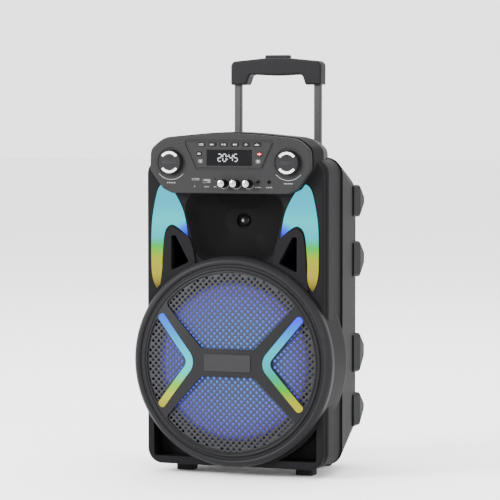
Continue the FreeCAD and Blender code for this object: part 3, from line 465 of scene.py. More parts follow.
class SpeakerColours(bpy.types.PropertyGroup):
    """Colours of the plastics and of the lights."""

    shell: colour("Shell", "Plastic of the cabinet", (0.0062, 0.0062, 0.0067))
    panel: colour("Panel", "Plastic of the control panel", (0.0150, 0.0150, 0.0156))
    ring: colour("Ring", "Plastic of the grille frame", (0.0095, 0.0095, 0.0102))
    glow_edge: colour("Glow edge", "Woofer light near the rim", (0.10, 0.06, 1.0))
    glow_core: colour("Glow core", "Woofer light in the middle", (0.08, 0.26, 0.90))


def sizes():
    return bpy.context.scene.party_speaker_sizes


def colours():
    return bpy.context.scene.party_speaker_colours


# ---------------------------------------------------------------- operators


class SPEAKER_OT_stage(bpy.types.Operator):
    """Adds the floor, the studio lights and the camera"""

    bl_idname = "party_speaker.stage"
    bl_label = "Stage"

    def execute(self, context):
        scene = bpy.context.scene
        finish = Finish("pale_floor")
        cloud = finish.noise(2.0, 3.0, 0.6)
        finish.set("Base Color", finish.blend(cloud, (0.90, 0.90, 0.90), (0.94, 0.94, 0.94)))
        finish.set("Roughness", 0.75 + cloud * 0.1)
        bm = bmesh.new()
        bmesh.ops.create_grid(bm, x_segments=1, y_segments=1, size=FLOOR_SIZE / 2)
        mesh = from_bmesh("floor", bm)
        floor = bpy.data.objects.new("floor", mesh)
        scene.collection.objects.link(floor)
        mesh.materials.append(finish.material)
        floor.location.z = -FLOOR_DROP

        scene.world = bpy.data.worlds.new("soft_studio")
        scene.world.use_nodes = True
        sky = scene.world.node_tree.nodes["Background"]
        sky.inputs["Color"].default_value = (1.0, 1.0, 1.0, 1.0)
        sky.inputs["Strength"].default_value = SKY_STRENGTH

        for soft_box in SOFT_BOXES:
            self.soft_box(*soft_box)
        self.camera(CAMERA_AZIMUTH, CAMERA_ELEVATION)
        return {"FINISHED"}

    def soft_box(self, name, place, target, size, power):
        light = bpy.data.lights.new(name, "AREA")
        light.energy = power
        light.size = size
        made = bpy.data.objects.new(name, light)
        made.location = place
        made.rotation_euler = (Vector(target) - Vector(place)).to_track_quat("-Z", "Y").to_euler()
        bpy.context.scene.collection.objects.link(made)

    def camera(self, azimuth, elevation):
        a, e = math.radians(azimuth), math.radians(elevation)
        back = Vector((math.sin(a) * math.cos(e), -math.cos(a) * math.cos(e), math.sin(e)))
        data = bpy.data.cameras.new("camera")
        data.lens = CAMERA_LENS
        data.sensor_width = SENSOR_WIDTH
        made = bpy.data.objects.new("camera", data)
        made.location = Vector(CAMERA_TARGET) + back * CAMERA_DISTANCE
        made.rotation_euler = (-back).to_track_quat("-Z", "Y").to_euler()
        bpy.context.scene.collection.objects.link(made)
        bpy.context.scene.camera = made


class SPEAKER_OT_cabinet(bpy.types.Operator):
    """Finishes the two halves of the cabinet and what is fixed inside them"""

    bl_idname = "party_speaker.cabinet"
    bl_label = "Cabinet"

    def execute(self, context):
        paint(self.front_plastic(), "front_cabinet")
        paint(
            moulded("rear_plastic", tuple(colours().shell), 0.52, 2000.0, 0.00009, 0.03),
            "rear_shell",
        )
        # Painted shade: the port tubes are coloured much darker than the shell, for the shade inside
        # the ports.
        paint(moulded("port_plastic_painted_shade", (0.0015, 0.0015, 0.0018), 0.6), "port_tubes")
        paint(circuit_board("board"), "amplifier_board", "control_board", "light_boards")
        paint(brushed("cast_aluminium", (0.6, 0.6, 0.61), 0.4, (1, 1, 0.06)), "heat_sink")
        paint(moulded("battery_wrap", (0.03, 0.05, 0.12), 0.4), "battery")
        paint(brushed("zinc_screw", (0.03, 0.03, 0.033), 0.38, (1, 1, 1)),
              "panel_screws", "cabinet_screws")
        return {"FINISHED"}

    def front_plastic(self):
        """The shell's plastic, darkened by painted shade deep inside the horn."""
        shell = tuple(colours().shell)
        finish = Finish("shell_plastic", specular_ior_level=0.03)
        cloud = finish.noise(14.0, 3.0, 0.6)
        fine = finish.noise(2600.0, 2.0, 0.55)
        tone = finish.blend(cloud, tinted(shell, 0.90), tinted(shell, 1.10))
        outside_painted_shade = painted_horn_shade(finish)
        # Painted shade: deep in the horn the shell colour falls to 0.65 of itself.
        finish.set("Base Color", finish.blend(outside_painted_shade, tinted(shell, 0.65), tone))
        finish.set("Roughness", 0.56 - outside_painted_shade * 0.12 + cloud * 0.06 + fine * 0.06)
        finish.bump(fine + cloud * 0.4, 0.35, 0.00006)
        return finish.material


def painted_horn_shade(finish):
    """0 in the deep part of the tweeter's horn, where shade is painted, 1 everywhere else."""
    centre = middle_of("tweeter")
    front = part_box("left_light_lens")[0].y
    x, y, z = finish.axes()
    deep = finish.step(y, front + 0.006, front + 0.022)
    beside = finish.step(abs(x), 0.090, 0.100)
    beyond = finish.step(abs(z - centre.z), 0.062, 0.072)
    return 1.0 - deep * (1.0 - beside.larger(beyond))


def circuit_board(name):
    """Green solder mask with a faint pattern of tracks."""
    finish = Finish(name, coat_weight=0.3)
    x, _, z = finish.axes()
    tracks = abs((x * 160.0).floor_mod(1.0) - 0.5).above(0.42).larger(
        abs((z * 140.0).floor_mod(1.0) - 0.5).above(0.44)
    )
    broken = tracks * finish.noise(60.0).above(0.5)
    finish.set("Base Color", finish.blend(broken, (0.01, 0.09, 0.03), (0.03, 0.20, 0.07)))
    finish.set("Roughness", 0.35 + finish.noise(400.0) * 0.2)
    finish.bump(broken, 0.3, 0.00005)
    return finish.material


class SPEAKER_OT_panel(bpy.types.Operator):
    """Finishes the control panel and adds its printed marks"""

    bl_idname = "party_speaker.panel"
    bl_label = "Control panel"

    def execute(self, context):
        paint(moulded("panel_plastic", tuple(colours().panel), 0.50, 2200.0, 0.00008),
              "control_panel")
        paint(moulded("bezel_plastic", tuple(colours().panel), 0.48), "panel_bezel")
        ink = printed_ink("grey_ink", (0.16, 0.16, 0.165))
        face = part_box("control_panel")[0].y
        for node in BIG_KNOBS:
            self.knob_marks(node, face, ink)
        self.socket_marks(face, ink)
        return {"FINISHED"}

    def knob_marks(self, node, face, ink):
        """An arc below a large knob, and a row of five bars below the arc."""
        arc_inner, arc_outer, drop = 0.0305, 0.0314, 0.0365
        pitch, half_wide, half_tall = 0.0034, 0.0011, 0.0009
        centre = middle_of(node)
        outlines = [arc_band(centre.x, centre.z, arc_inner, arc_outer, 222, 318, 28)]
        low = centre.z - drop
        for i in range(-2, 3):
            x = centre.x + i * pitch
            outlines.append(bar(x - half_wide, x + half_wide, low - half_tall, low + half_tall))
        plates(node + "_scale", outlines, face - sizes().ink_height, face + INK_SUNK, ink,
               "cabinet")

    def socket_marks(self, face, ink):
        """A short row of bars below each socket, and an arc below each small knob."""
        rows = ((-0.066, 0.5155, 1), (-0.043, 0.5150, 3), (-0.027, 0.5150, 2),
                (0.054, 0.5145, 4), (0.075, 0.5145, 4))
        pitch, half_wide, half_tall = 0.0030, 0.0009, 0.0008
        arc_inner, arc_outer = 0.0092, 0.0098
        outlines = []
        for x, z, count in rows:
            for i in range(count):
                middle = x + (i - (count - 1) / 2) * pitch
                outlines.append(
                    bar(middle - half_wide, middle + half_wide, z - half_tall, z + half_tall)
                )
        for node in SMALL_KNOBS:
            centre = middle_of(node)
            outlines.append(arc_band(centre.x, centre.z, arc_inner, arc_outer, 200, 340, 16))
        plates("socket_marks", outlines, face - sizes().ink_height, face + INK_SUNK, ink,
               "cabinet")


class SPEAKER_OT_buttons(bpy.types.Operator):
    """Finishes the buttons and prints a plain symbol on each"""

    bl_idname = "party_speaker.buttons"
    bl_label = "Buttons"

    def execute(self, context):
        paint(moulded("key_plastic", (0.007, 0.007, 0.0075), 0.42), *TOP_BUTTONS, "menu_button")
        paint(moulded("pale_key_plastic", (0.075, 0.075, 0.078), 0.42),
              "input_button", "light_button")
        paint(moulded("red_key_plastic", (0.03, 0.004, 0.005), 0.40), "record_button")
        white = printed_ink("lit_white_ink", (0.32, 0.32, 0.32), 0.3)
        red = printed_ink("lit_red_ink", (0.95, 0.12, 0.16), 0.9)
        for node, shapes in self.symbols().items():
            centre = middle_of(node)
            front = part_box(node)[0].y
            outlines = [
                [(centre.x + x * MM, centre.z + z * MM) for x, z in outline] for outline in shapes
            ]
            ink = red if node == "record_button" else white
            plates(node + "_symbol", outlines, front - sizes().ink_height, front + INK_SUNK, ink,
                   node)
        return {"FINISHED"}

    def symbols(self):
        """Outlines of each button's symbol, in millimetres from the button's middle."""

        def right(x, half=1.5, wide=2.4):
            return [(x, -half), (x + wide, 0), (x, half)]

        def left(x, half=1.5, wide=2.4):
            return [(x, -half), (x, half), (x - wide, 0)]

        return {
            "mode_button": [bar(-4.4, -3.3, i - 0.4, i + 0.4) for i in (-1.1, 1.1)]
            + [bar(-2.4, 4.4, i - 0.4, i + 0.4) for i in (-1.1, 1.1)],
            "previous_button": [bar(-4.2, -3.4, -1.6, 1.6), left(-0.8), left(2.0)],
            "play_button": [right(-3.4, 1.7, 3.2), bar(0.9, 1.8, -1.7, 1.7), bar(2.7, 3.6, -1.7, 1.7)],
            "next_button": [right(-2.8, 1.9), right(-0.1, 1.9), bar(2.7, 3.5, -1.9, 1.9)],
            "repeat_button": [arc_band(0, 0, 1.1, 1.8, 30, 330, 20), right(1.2, 0.9, 1.4)],
            "tone_button": [
                bar(x, x + 1.0, -1.6, -1.6 + rise)
                for x, rise in ((-4.2, 1.6), (-2.5, 2.6), (-0.8, 3.2), (0.9, 2.2), (2.6, 1.4))
            ],
            "menu_button": [bar(-2.8, 2.8, 0.5, 1.4), bar(-2.8, 2.8, -1.2, -0.3)],
            "input_button": [circle(0, 1.0, 1.1, 16), bar(-0.5, 0.5, -2.4, 0.4)],
            "record_button": [circle(0, 0, 2.1, 20), bar(-3.6, -2.9, -1.4, 1.4),
                              bar(2.9, 3.6, -1.4, 1.4)],
            "light_button": [circle(0, 0.8, 1.3, 16), bar(-0.7, 0.7, -2.3, -0.9)],
        }


class SPEAKER_OT_display(bpy.types.Operator):
    """Finishes the display and adds its lit digits"""

    bl_idname = "party_speaker.display"
    bl_label = "Display"

    SEGMENTS = {
        "0": "abcdef",
        "2": "abdeg",
        "4": "bcfg",
        "5": "acdfg",
    }

    def execute(self, context):
        glass = Finish("display_glass", specular_ior_level=0.12, coat_weight=0.05, coat_roughness=0.03)
        smear = glass.noise(40.0, 3.0, 0.6)
        glass.set("Base Color", glass.blend(smear, (0.0004, 0.0004, 0.0006), (0.0015, 0.0015, 0.002)))
        glass.set("Roughness", 0.06 + smear * 0.10)
        glass.bump(smear, 0.05, 0.0001)
        paint(glass.material, "display_window", "display_module")
        low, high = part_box("display_window")
        lit = Finish("lit_segment", emission_strength=1.1)
        dots = lit.noise(700.0, 1.0)
        lit.set("Base Color", lit.blend(dots, (0.08, 0.085, 0.09), (0.10, 0.105, 0.11)))
        lit.set("Emission Color", lit.blend(dots, (0.80, 0.88, 1.0), (1.0, 1.0, 1.0)))
        lit.set("Roughness", 0.4 + dots * 0.1)
        outlines = []
        wide, tall = sizes().digit_width, sizes().digit_height
        gap, dot_radius, left_share = 0.0028, 0.0008, 0.25
        start = low.x + (high.x - low.x) * left_share
        base = (low.z + high.z) / 2 - tall / 2
        for place, sign in enumerate("20:45"):
            if sign == ":":
                middle = start + place * (wide + gap) - gap * 0.1
                outlines += [
                    circle(middle, base + tall * share, dot_radius, 12) for share in (0.3, 0.7)
                ]
                start -= wide
                continue
            outlines += self.digit(sign, start + place * (wide + gap), base, wide, tall)
        plates("display_figures", outlines, low.y - sizes().ink_height, low.y + INK_SUNK,
               lit.material, "cabinet")
        return {"FINISHED"}

    def digit(self, sign, x, z, wide, tall):
        """Outlines of one seven-segment digit whose lower left corner is at x, z."""
        half, thick = tall / 2, 0.0014
        cut = thick / 2

        def lying(level):
            return [
                (x + cut, level),
                (x + thick, level - cut),
                (x + wide - thick, level - cut),
                (x + wide - cut, level),
                (x + wide - thick, level + cut),
                (x + thick, level + cut),
            ]

        def upright(side, low):
            return [
                (side, low + cut),
                (side + cut, low + thick),
                (side + cut, low + half - thick),
                (side, low + half - cut),
                (side - cut, low + half - thick),
                (side - cut, low + thick),
            ]

        places = {
            "a": lying(z + tall),
            "b": upright(x + wide, z + half),
            "c": upright(x + wide, z),
            "d": lying(z),
            "e": upright(x, z),
            "f": upright(x, z + half),
            "g": lying(z + half),
        }
        return [places[segment] for segment in self.SEGMENTS[sign]]


class SPEAKER_OT_knobs(bpy.types.Operator):
    """Finishes the knobs and adds their bright arcs, caps and pointer lines"""

    bl_idname = "party_speaker.knobs"
    bl_label = "Knobs"

    def execute(self, context):
        paint(self.knob_face(), *BIG_KNOBS)
        paint(moulded("small_knob_plastic", (0.003, 0.003, 0.0034), 0.4), *SMALL_KNOBS)
        bright = Finish("bright_plating", metallic=1.0)
        haze = bright.noise(60.0, 3.0, 0.6)
        bright.set("Base Color", bright.blend(haze, (0.34, 0.34, 0.35), (0.46, 0.46, 0.47)))
        bright.set("Roughness", 0.16 + haze * 0.12)
        bright.bump(haze, 0.05, 0.0001)
        # The printed arcs also glow a little: painted light on ink that is no lamp.
        pale = printed_ink("pale_arc_painted_glow", (0.62, 0.62, 0.63), 0.2)
        mark = printed_ink("dark_pointer", (0.01, 0.01, 0.01))
        arc_width, arc_turn, sunk = 0.0043, 104, 0.0003
        rib_half, rib_thick, rib_pitch = 0.0135, 0.0002, 0.0012
        for node in BIG_KNOBS:
            centre = middle_of(node)
            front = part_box(node)[0].y
            outer = sizes().arc_radius
            inner = outer - arc_width
            outlines = [
                arc_band(centre.x, centre.z, inner, outer, start, start + arc_turn, 28)
                for start in (38, 218)
            ]
            plates(node + "_arcs", outlines, front - 0.0004, front + sunk, pale, node,
                   0.00015)
            across = [
                bar(centre.x - rib_half, centre.x + rib_half,
                    centre.z - rib_thick + row * rib_pitch, centre.z + rib_thick + row * rib_pitch)
                for row in (-2, -1, 0, 1, 2)
            ]
            plates(node + "_ribs", across, front - sunk, front + sunk,
                   moulded_once("knob_rib_plastic", (0.03, 0.03, 0.032), 0.4), node,
                   0.0001)
        cap_profile = [(0.0, 0.0010), (0.0050, 0.0010), (0.0060, 0.0006), (0.0062, -0.0002),
                       (0.0056, -0.0006), (0.0, -0.0006)]
        cap_back = 0.0006
        pointer_half, pointer_low, pointer_high, pointer_rise = 0.0006, 0.0015, 0.0052, 0.0005
        for node in SMALL_KNOBS:
            centre = middle_of(node)
            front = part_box(node)[0].y
            turned(node + "_cap", (centre.x, front + cap_back, centre.z), (0, -1, 0),
                   cap_profile, bright.material, node, 40)
            outline = bar(centre.x - pointer_half, centre.x + pointer_half,
                          centre.z + pointer_low, centre.z + pointer_high)
            plates(node + "_pointer", [outline], front - pointer_rise, front, mark, node)
        return {"FINISHED"}

    def knob_face(self):
        finish = Finish("knob_plastic", specular_ior_level=0.12)
        cloud = finish.noise(20.0, 2.0)
        fine = finish.cells(900.0)
        finish.set("Base Color", finish.blend(cloud, (0.0055, 0.0055, 0.006), (0.0080, 0.0080, 0.0085)))
        finish.set("Roughness", 0.36 + fine * 0.2)
        finish.bump(fine, 0.4, 0.00012)
        return finish.material


def moulded_once(name, colour_value, roughness):
    """A moulded plastic that several pieces share."""
    found = bpy.data.materials.get(name)
    return found if found else moulded(name, colour_value, roughness)


class SPEAKER_OT_sockets(bpy.types.Operator):
    """Finishes the sockets and adds their contacts"""

    bl_idname = "party_speaker.sockets"
    bl_label = "Sockets"

    def execute(self, context):
        paint(brushed("plated_can", (0.16, 0.16, 0.165), 0.32, (1, 0.05, 1)), "media_sockets")
        paint(moulded("socket_plastic", (0.003, 0.003, 0.0034), 0.42), "aux_socket", "dc_socket")
        gold = brushed("gold_contact", (0.85, 0.60, 0.25), 0.25, (1, 0.1, 1))
        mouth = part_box("media_sockets")[0].y
        contact_half, contact_height = 0.0005, 0.0004
        contacts = [
            bar(STICK_SLOT_X + x * MM - contact_half, STICK_SLOT_X + x * MM + contact_half,
                STICK_SLOT_Z, STICK_SLOT_Z + contact_height)
            for x in (-3.6, -1.2, 1.2, 3.6)
        ]
        plates("socket_contacts", contacts, mouth + 0.0015, mouth + 0.0080, gold, "cabinet")
        rim_profile = [(0.0040, 0.0), (0.0043, -0.0001), (0.0043, -0.0006), (0.0026, -0.0006),
                       (0.0026, 0.0002), (0.0032, 0.0003)]
        for node in ("aux_socket", "dc_socket"):
            centre = middle_of(node)
            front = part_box(node)[0].y
            turned(node + "_rim", (centre.x, front, centre.z), (0, -1, 0), rim_profile,
                   moulded_once("socket_rim_plastic", (0.007, 0.007, 0.0075), 0.35), "cabinet",
                   32)
        return {"FINISHED"}


class SPEAKER_OT_lights(bpy.types.Operator):
    """Lights the side lamps and the two chevrons"""

    bl_idname = "party_speaker.lights"
    bl_label = "Lamps"

    def execute(self, context):
        paint(self.fang(), "left_light_lens", "right_light_lens")
        paint(self.chevron("left_chevron_glow", True), "left_chevron_lens")
        paint(self.chevron("right_chevron_glow", False), "right_chevron_lens")
        return {"FINISHED"}

    def lens(self, name, hue, strength):
        """A frosted lens lit from behind."""
        finish = Finish(name, emission_strength=strength, specular_ior_level=0.1)
        hue_wire = hue(finish)
        frost = finish.noise(500.0, 3.0, 0.6)
        finish.set("Emission Color", finish.blend(frost * 0.3, hue_wire, (0.0, 0.0, 0.0)))
        finish.set("Base Color", finish.blend(frost, (0.002, 0.003, 0.004), (0.004, 0.005, 0.006)))
        finish.set("Roughness", 0.25 + frost * 0.15)
        finish.bump(frost, 0.1, 0.0001)
        return finish.material

    def fang(self):
        """Yellow low down, then green and cyan, with a deep blue spot at the bend."""

        def hue(finish):
            x, _, z = finish.axes()
            down = self.by_height(finish, z, FANG_LOW, FANG_HIGH, [
                (0.030, (0.015, 0.010, 0.00)),
                (0.060, (0.08, 0.05, 0.00)),
                (0.120, (0.19, 0.14, 0.00)),
                (0.200, (0.28, 0.24, 0.00)),
                (0.380, (0.27, 0.28, 0.00)),
                (0.450, (0.14, 0.34, 0.00)),
                (0.520, (0.01, 0.36, 0.02)),
                (0.570, (0.00, 0.34, 0.18)),
                (0.630, (0.00, 0.36, 0.42)),
                (0.800, (0.00, 0.42, 0.46)),
                (1.000, (0.00, 0.32, 0.42)),
            ])
            away = span(abs(x) - FANG_TIP_X, z - FANG_TIP_Z)
            tip = 1.0 - finish.step(away, 0.014, 0.034)
            dark = 1.0 - finish.step(away, 0.002, 0.016)
            blue = finish.blend(dark, (0.00, 0.05, 0.70), (0.01, 0.00, 0.12))
            return finish.blend(tip, down, blue)

        return self.lens("side_lamp_glow", hue, FANG_STRENGTH)

    def chevron(self, name, paler):
        """Yellow at the lower end of the strip, blue at its upper end."""
        middle = middle_of("light_ring").z

        def hue(finish):
            z = finish.axes()[2]
            if paler:
                stops = [
                    (0.05, (0.27, 0.24, 0.00)),
                    (0.15, (0.34, 0.36, 0.01)),
                    (0.27, (0.16, 0.42, 0.01)),
                    (0.38, (0.01, 0.46, 0.32)),
                    (0.48, (0.00, 0.46, 0.50)),
                    (0.62, (0.00, 0.36, 0.52)),
                    (0.80, (0.00, 0.18, 0.58)),
                    (0.95, (0.00, 0.08, 0.66)),
                ]
            else:
                stops = [
                    (0.05, (0.32, 0.27, 0.00)),
                    (0.16, (0.24, 0.28, 0.00)),
                    (0.25, (0.04, 0.32, 0.00)),
                    (0.36, (0.00, 0.26, 0.13)),
                    (0.46, (0.00, 0.30, 0.32)),
                    (0.66, (0.00, 0.34, 0.44)),
                    (0.84, (0.00, 0.14, 0.60)),
                    (0.93, (0.01, 0.02, 0.90)),
                ]
            low, high = middle - CHEVRON_REACH, middle + CHEVRON_REACH
            return self.by_height(finish, z, low, high, stops)

        return self.lens(name, hue, CHEVRON_STRENGTH)

    def by_height(self, finish, z, low, high, stops):
        return finish.ramp((z - low) / (high - low), stops)


class SPEAKER_OT_woofer(bpy.types.Operator):
    """Finishes the woofer and its ring of light"""

    bl_idname = "party_speaker.woofer"
    bl_label = "Woofer"

    def execute(self, context):
        centre = middle_of("light_ring")
        paint(self.glowing("cone_paper", centre, (0.006, 0.006, 0.008), 0.10, 1.25),
              "woofer_cone")
        paint(self.glowing("surround_rubber", centre, (0.004, 0.004, 0.005), 0.10, 1.1), "surround")
        paint(self.glowing("basket_lit", centre, (0.004, 0.004, 0.005), 0.12, 0.7), "woofer_basket")
        ring = Finish("ring_light", emission_strength=0.04)
        beads = ring.noise(90.0, 2.0)
        ring.set("Emission Color", ring.blend(beads, (0.12, 0.16, 1.0), (0.25, 0.45, 1.0)))
        ring.set("Base Color", ring.blend(beads, (0.002, 0.002, 0.006), (0.004, 0.004, 0.009)))
        ring.set("Roughness", 0.3 + beads * 0.2)
        paint(ring.material, "light_ring")
        paint(brushed("magnet_steel", (0.25, 0.25, 0.26), 0.4, (1, 1, 1)), "woofer_magnet")
        paint(brushed("copper_winding", (0.75, 0.32, 0.16), 0.35, (0.02, 1, 0.02)), "voice_coil")
        paint(rubber("spider_cloth", (0.28, 0.18, 0.08), 0.85, 1500.0), "spider")
        return {"FINISHED"}

    def glowing(self, name, centre, base, reach, strength):
        """A dark surface with a painted glow standing in for the coloured light falling on it, bluest
        at the rim.
        """
        finish = Finish(name, emission_strength=strength)
        x, _, z = finish.axes()
        away = span(x - centre.x, z - centre.z)
        pulp = finish.noise(420.0, 4.0, 0.7)
        share = finish.step(away, 0.03, 0.150)
        glow = finish.blend(share, tuple(colours().glow_core), tuple(colours().glow_edge))
        fade = 1.0 - finish.step(away, 0.130, 0.146)
        # Painted light: the cone, surround and basket glow in the ring light's colour, though they are
        # no lamp.
        finish.set("Emission Color", finish.blend(fade, (0, 0, 0), glow))
        finish.set("Base Color", finish.blend(pulp, tinted(base, 0.8), tinted(base, 1.25)))
        finish.set("Roughness", 0.7 + pulp * reach)
        finish.bump(pulp, 0.3, 0.0002)
        return finish.material


class SPEAKER_OT_grille(bpy.types.Operator):
    """Finishes the grille frame and builds its perforated steel mesh"""

    bl_idname = "party_speaker.grille"
    bl_label = "Grille"

    def execute(self, context):
        paint(moulded("ring_plastic", tuple(colours().ring), 0.40, 3000.0, 0.00004),
              "grille_frame")
        paint(moulded("plate_plastic", (0.018, 0.018, 0.019), 0.38, 3000.0, 0.00004),
              "name_plate")
        made = keep("perforated_mesh", self.perforated(), self.steel(), "cabinet")
        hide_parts("grille_mesh")
        self.plate_line()
        return {"FINISHED"}

    def steel(self):
        """Powder coat, with a faint painted blue glow where the woofer's light would reach it."""
        finish = Finish("powder_coated_steel", specular_ior_level=0.2, emission_strength=1.0)
        fine = finish.noise(1800.0, 3.0, 0.6)
        cloud = finish.noise(20.0)
        finish.set("Base Color", finish.blend(cloud, (0.011, 0.011, 0.012), (0.015, 0.015, 0.016)))
        finish.set("Roughness", 0.45 + fine * 0.15)
        centre = middle_of("grille_mesh")
        x, _, z = finish.axes()
        away = span(x - centre.x, z - centre.z)
        # Painted light: the steel glows faintly blue towards the middle, as if lit from behind.
        lit = 1.0 - finish.step(away, 0.110, 0.146)
        finish.set("Emission Color", finish.blend(lit, (0, 0, 0), (0.010, 0.022, 0.085)))
        finish.bump(fine, 0.3, 0.00005)
        return finish.material

    def perforated(self):
        """A domed disc of sheet steel with rows of round holes set at 45 degrees."""
        low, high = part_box("grille_mesh")
        centre = (low + high) / 2
        radius = (high.x - low.x) / 2
        edge_thickness = 0.0012
        rise = (high.y - low.y) - edge_thickness
        ball = (radius * radius + rise * rise) / (2 * rise)
        pitch, hole = sizes().mesh_pitch, sizes().mesh_hole / 2
        bm = bmesh.new()
        found = {}

        def vertex(u, w):
            reach = math.hypot(u, w)
            if reach > radius:
                u, w = u * radius / reach, w * radius / reach
                reach = radius
            key = (round(u * 1e6), round(w * 1e6))
            if key not in found:
                back = ball - math.sqrt(ball * ball - reach * reach)
                found[key] = bm.verts.new((centre.x + u, low.y + back, centre.z + w))
            return found[key]

        slant = math.sqrt(0.5)
        count = int(radius / pitch) + 2
        steps = 12
        for i in range(-count, count + 1):
            for j in range(-count, count + 1):
                u, w = (i - j) * pitch * slant, (i + j) * pitch * slant
                if math.hypot(u, w) > radius + pitch * 0.6:
                    continue
                self.cell(bm, vertex, u, w, pitch, hole, radius, steps)
        bmesh.ops.dissolve_degenerate(bm, dist=1e-6, edges=bm.edges)
        mesh = from_bmesh("perforated_mesh", bm, 60.0)
        return self.thickened(mesh, sizes().mesh_thickness)

    def cell(self, bm, vertex, u, w, pitch, hole, radius, steps):
        """One square of the sheet, turned by 45 degrees, with its round hole."""
        half = pitch * math.sqrt(0.5)
        outline = []
        corners = [(half, 0), (0, half), (-half, 0), (0, -half)]
        each = steps // 4
        for k, (x0, z0) in enumerate(corners):
            x1, z1 = corners[(k + 1) % 4]
            for s in range(each):
                t = s / each
                outline.append((u + x0 + (x1 - x0) * t, w + z0 + (z1 - z0) * t))
        if math.hypot(u, w) > radius - pitch * 0.9:
            verts = []
            for x, z in outline:
                v = vertex(x, z)
                if v not in verts:
                    verts.append(v)
            if len(verts) > 2:
                bm.faces.new(verts)
            return
        outer = [vertex(x, z) for x, z in outline]
        inner = [
            vertex(u + hole * math.cos(2 * math.pi * k / steps),
                   w + hole * math.sin(2 * math.pi * k / steps))
            for k in range(steps)
        ]
        for k in range(steps):
            n = (k + 1) % steps
            bm.faces.new((outer[k], outer[n], inner[n], inner[k]))

    def thickened(self, mesh, thickness):
        """The sheet's mesh with its thickness, as a plain mesh with no modifier left."""
        made = bpy.data.objects.new("sheet_blank", mesh)
        bpy.context.scene.collection.objects.link(made)
        solid = made.modifiers.new("thickness", "SOLIDIFY")
        solid.thickness = thickness
        solid.offset = -1.0
        bpy.context.view_layer.update()
        graph = bpy.context.evaluated_depsgraph_get()
        final = bpy.data.meshes.new_from_object(made.evaluated_get(graph))
        bpy.data.objects.remove(made)
        final.name = "perforated_mesh"
        return final

    def plate_line(self):
        low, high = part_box("name_plate")
        ink = moulded("plate_line_plastic", (0.02, 0.02, 0.021), 0.5)
        inset, wide = 0.0016, 0.0005
        x0, x1, z0, z1 = low.x + inset, high.x - inset, low.z + inset, high.z - inset
        outlines = [
            bar(x0, x1, z0, z0 + wide),
            bar(x0, x1, z1 - wide, z1),
            bar(x0, x0 + wide, z0 + wide, z1 - wide),
            bar(x1 - wide, x1, z0 + wide, z1 - wide),
        ]
        plates("plate_line", outlines, low.y - 0.00005, low.y + 0.0003, ink, "cabinet")


class SPEAKER_OT_tweeter(bpy.types.Operator):
    """Finishes the tweeter and adds the small plug in front of it"""

    bl_idname = "party_speaker.tweeter"
    bl_label = "Tweeter"

    def execute(self, context):
        paint(moulded("tweeter_plastic", (0.0012, 0.0012, 0.0014), 0.5), "tweeter")
        silver = Finish("silver_film", metallic=0.3, specular_ior_level=0.1)
        haze = silver.noise(90.0, 2.0)
        silver.set("Base Color", silver.blend(haze, (0.004, 0.004, 0.0045), (0.007, 0.007, 0.0075)))
        silver.set("Roughness", 0.22 + haze * 0.15)
        silver.bump(haze, 0.05, 0.0001)
        paint(silver.material, "tweeter_dome")
        low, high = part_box("tweeter_dome")
        centre = (low + high) / 2
        # The tip's faint glow is painted light; the tip is no lamp.
        white = printed_ink("plug_tip_painted_glow", (0.20, 0.20, 0.21), 0.1)
        profile = [(0.0, 0.0034), (0.0012, 0.0031), (0.0022, 0.0022), (0.0026, 0.0010),
                   (0.0026, 0.0), (0.0, 0.0)]
        seat = low.y + 0.0024
        turned("tweeter_tip", (centre.x, seat, centre.z), (0, -1, 0), profile, white,
               "cabinet", 28)
        return {"FINISHED"}


class SPEAKER_OT_handle(bpy.types.Operator):
    """Finishes the telescopic handle"""

    bl_idname = "party_speaker.handle"
    bl_label = "Handle"

    def execute(self, context):
        tube = brushed("black_tube", (0.016, 0.016, 0.017), 0.42, (1, 1, 0.03), 0.5)
        paint(tube, "handle_tubes")
        paint(brushed("sleeve_steel", (0.02, 0.02, 0.021), 0.40, (1, 1, 0.03), 0.6),
              "handle_sleeves")
        paint(moulded("grip_plastic", (0.0075, 0.0075, 0.0082), 0.48, 1600.0, 0.0001),
              "handle_grip")
        paint(moulded("release_plastic", (0.010, 0.010, 0.011), 0.4), "release_button")
        steel = brushed("spring_steel", (0.55, 0.55, 0.56), 0.3, (1, 1, 0.1))
        paint(steel, "push_rods", "lock_pins", "release_spring")
        return {"FINISHED"}


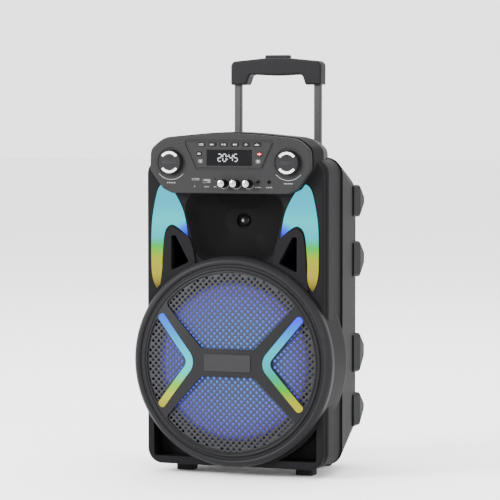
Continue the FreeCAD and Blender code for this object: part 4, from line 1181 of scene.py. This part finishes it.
class SPEAKER_OT_wheels(bpy.types.Operator):
    """Finishes the wheels, their axles and the front feet"""

    bl_idname = "party_speaker.wheels"
    bl_label = "Wheels and feet"

    def execute(self, context):
        paint(rubber("tyre_rubber", (0.006, 0.006, 0.0064)), "left_wheel", "right_wheel")
        paint(brushed("axle_steel", (0.55, 0.55, 0.56), 0.32, (0.05, 1, 1)), "wheel_axles")
        paint(rubber("foot_rubber", (0.006, 0.006, 0.0064), 0.75), "front_feet")
        return {"FINISHED"}


class SPEAKER_PT_sidebar(bpy.types.Panel):
    """Lists the steps of the build and the sizes and colours that they use"""

    bl_idname = "SPEAKER_PT_sidebar"
    bl_label = "Party speaker"
    bl_space_type = "VIEW_3D"
    bl_region_type = "UI"
    bl_category = "Party speaker"

    def draw(self, context):
        for operator in STEPS:
            self.layout.operator(operator.bl_idname)
        for group in (context.scene.party_speaker_sizes, context.scene.party_speaker_colours):
            for name in group.__annotations__:
                self.layout.prop(group, name)


STEPS = (
    SPEAKER_OT_stage,
    SPEAKER_OT_cabinet,
    SPEAKER_OT_panel,
    SPEAKER_OT_buttons,
    SPEAKER_OT_display,
    SPEAKER_OT_knobs,
    SPEAKER_OT_sockets,
    SPEAKER_OT_lights,
    SPEAKER_OT_woofer,
    SPEAKER_OT_grille,
    SPEAKER_OT_tweeter,
    SPEAKER_OT_handle,
    SPEAKER_OT_wheels,
)
CLASSES = (SpeakerSizes, SpeakerColours, *STEPS, SPEAKER_PT_sidebar)


def register():
    for made in CLASSES:
        bpy.utils.register_class(made)
    bpy.types.Scene.party_speaker_sizes = PointerProperty(type=SpeakerSizes)
    bpy.types.Scene.party_speaker_colours = PointerProperty(type=SpeakerColours)


def unregister():
    del bpy.types.Scene.party_speaker_colours
    del bpy.types.Scene.party_speaker_sizes
    for made in reversed(CLASSES):
        bpy.utils.unregister_class(made)


def main():
    register()
    for operator in STEPS:
        group, name = operator.bl_idname.split(".")
        getattr(getattr(bpy.ops, group), name)()
    bpy.context.view_layer.update()


if __name__ == "__main__":
    main()
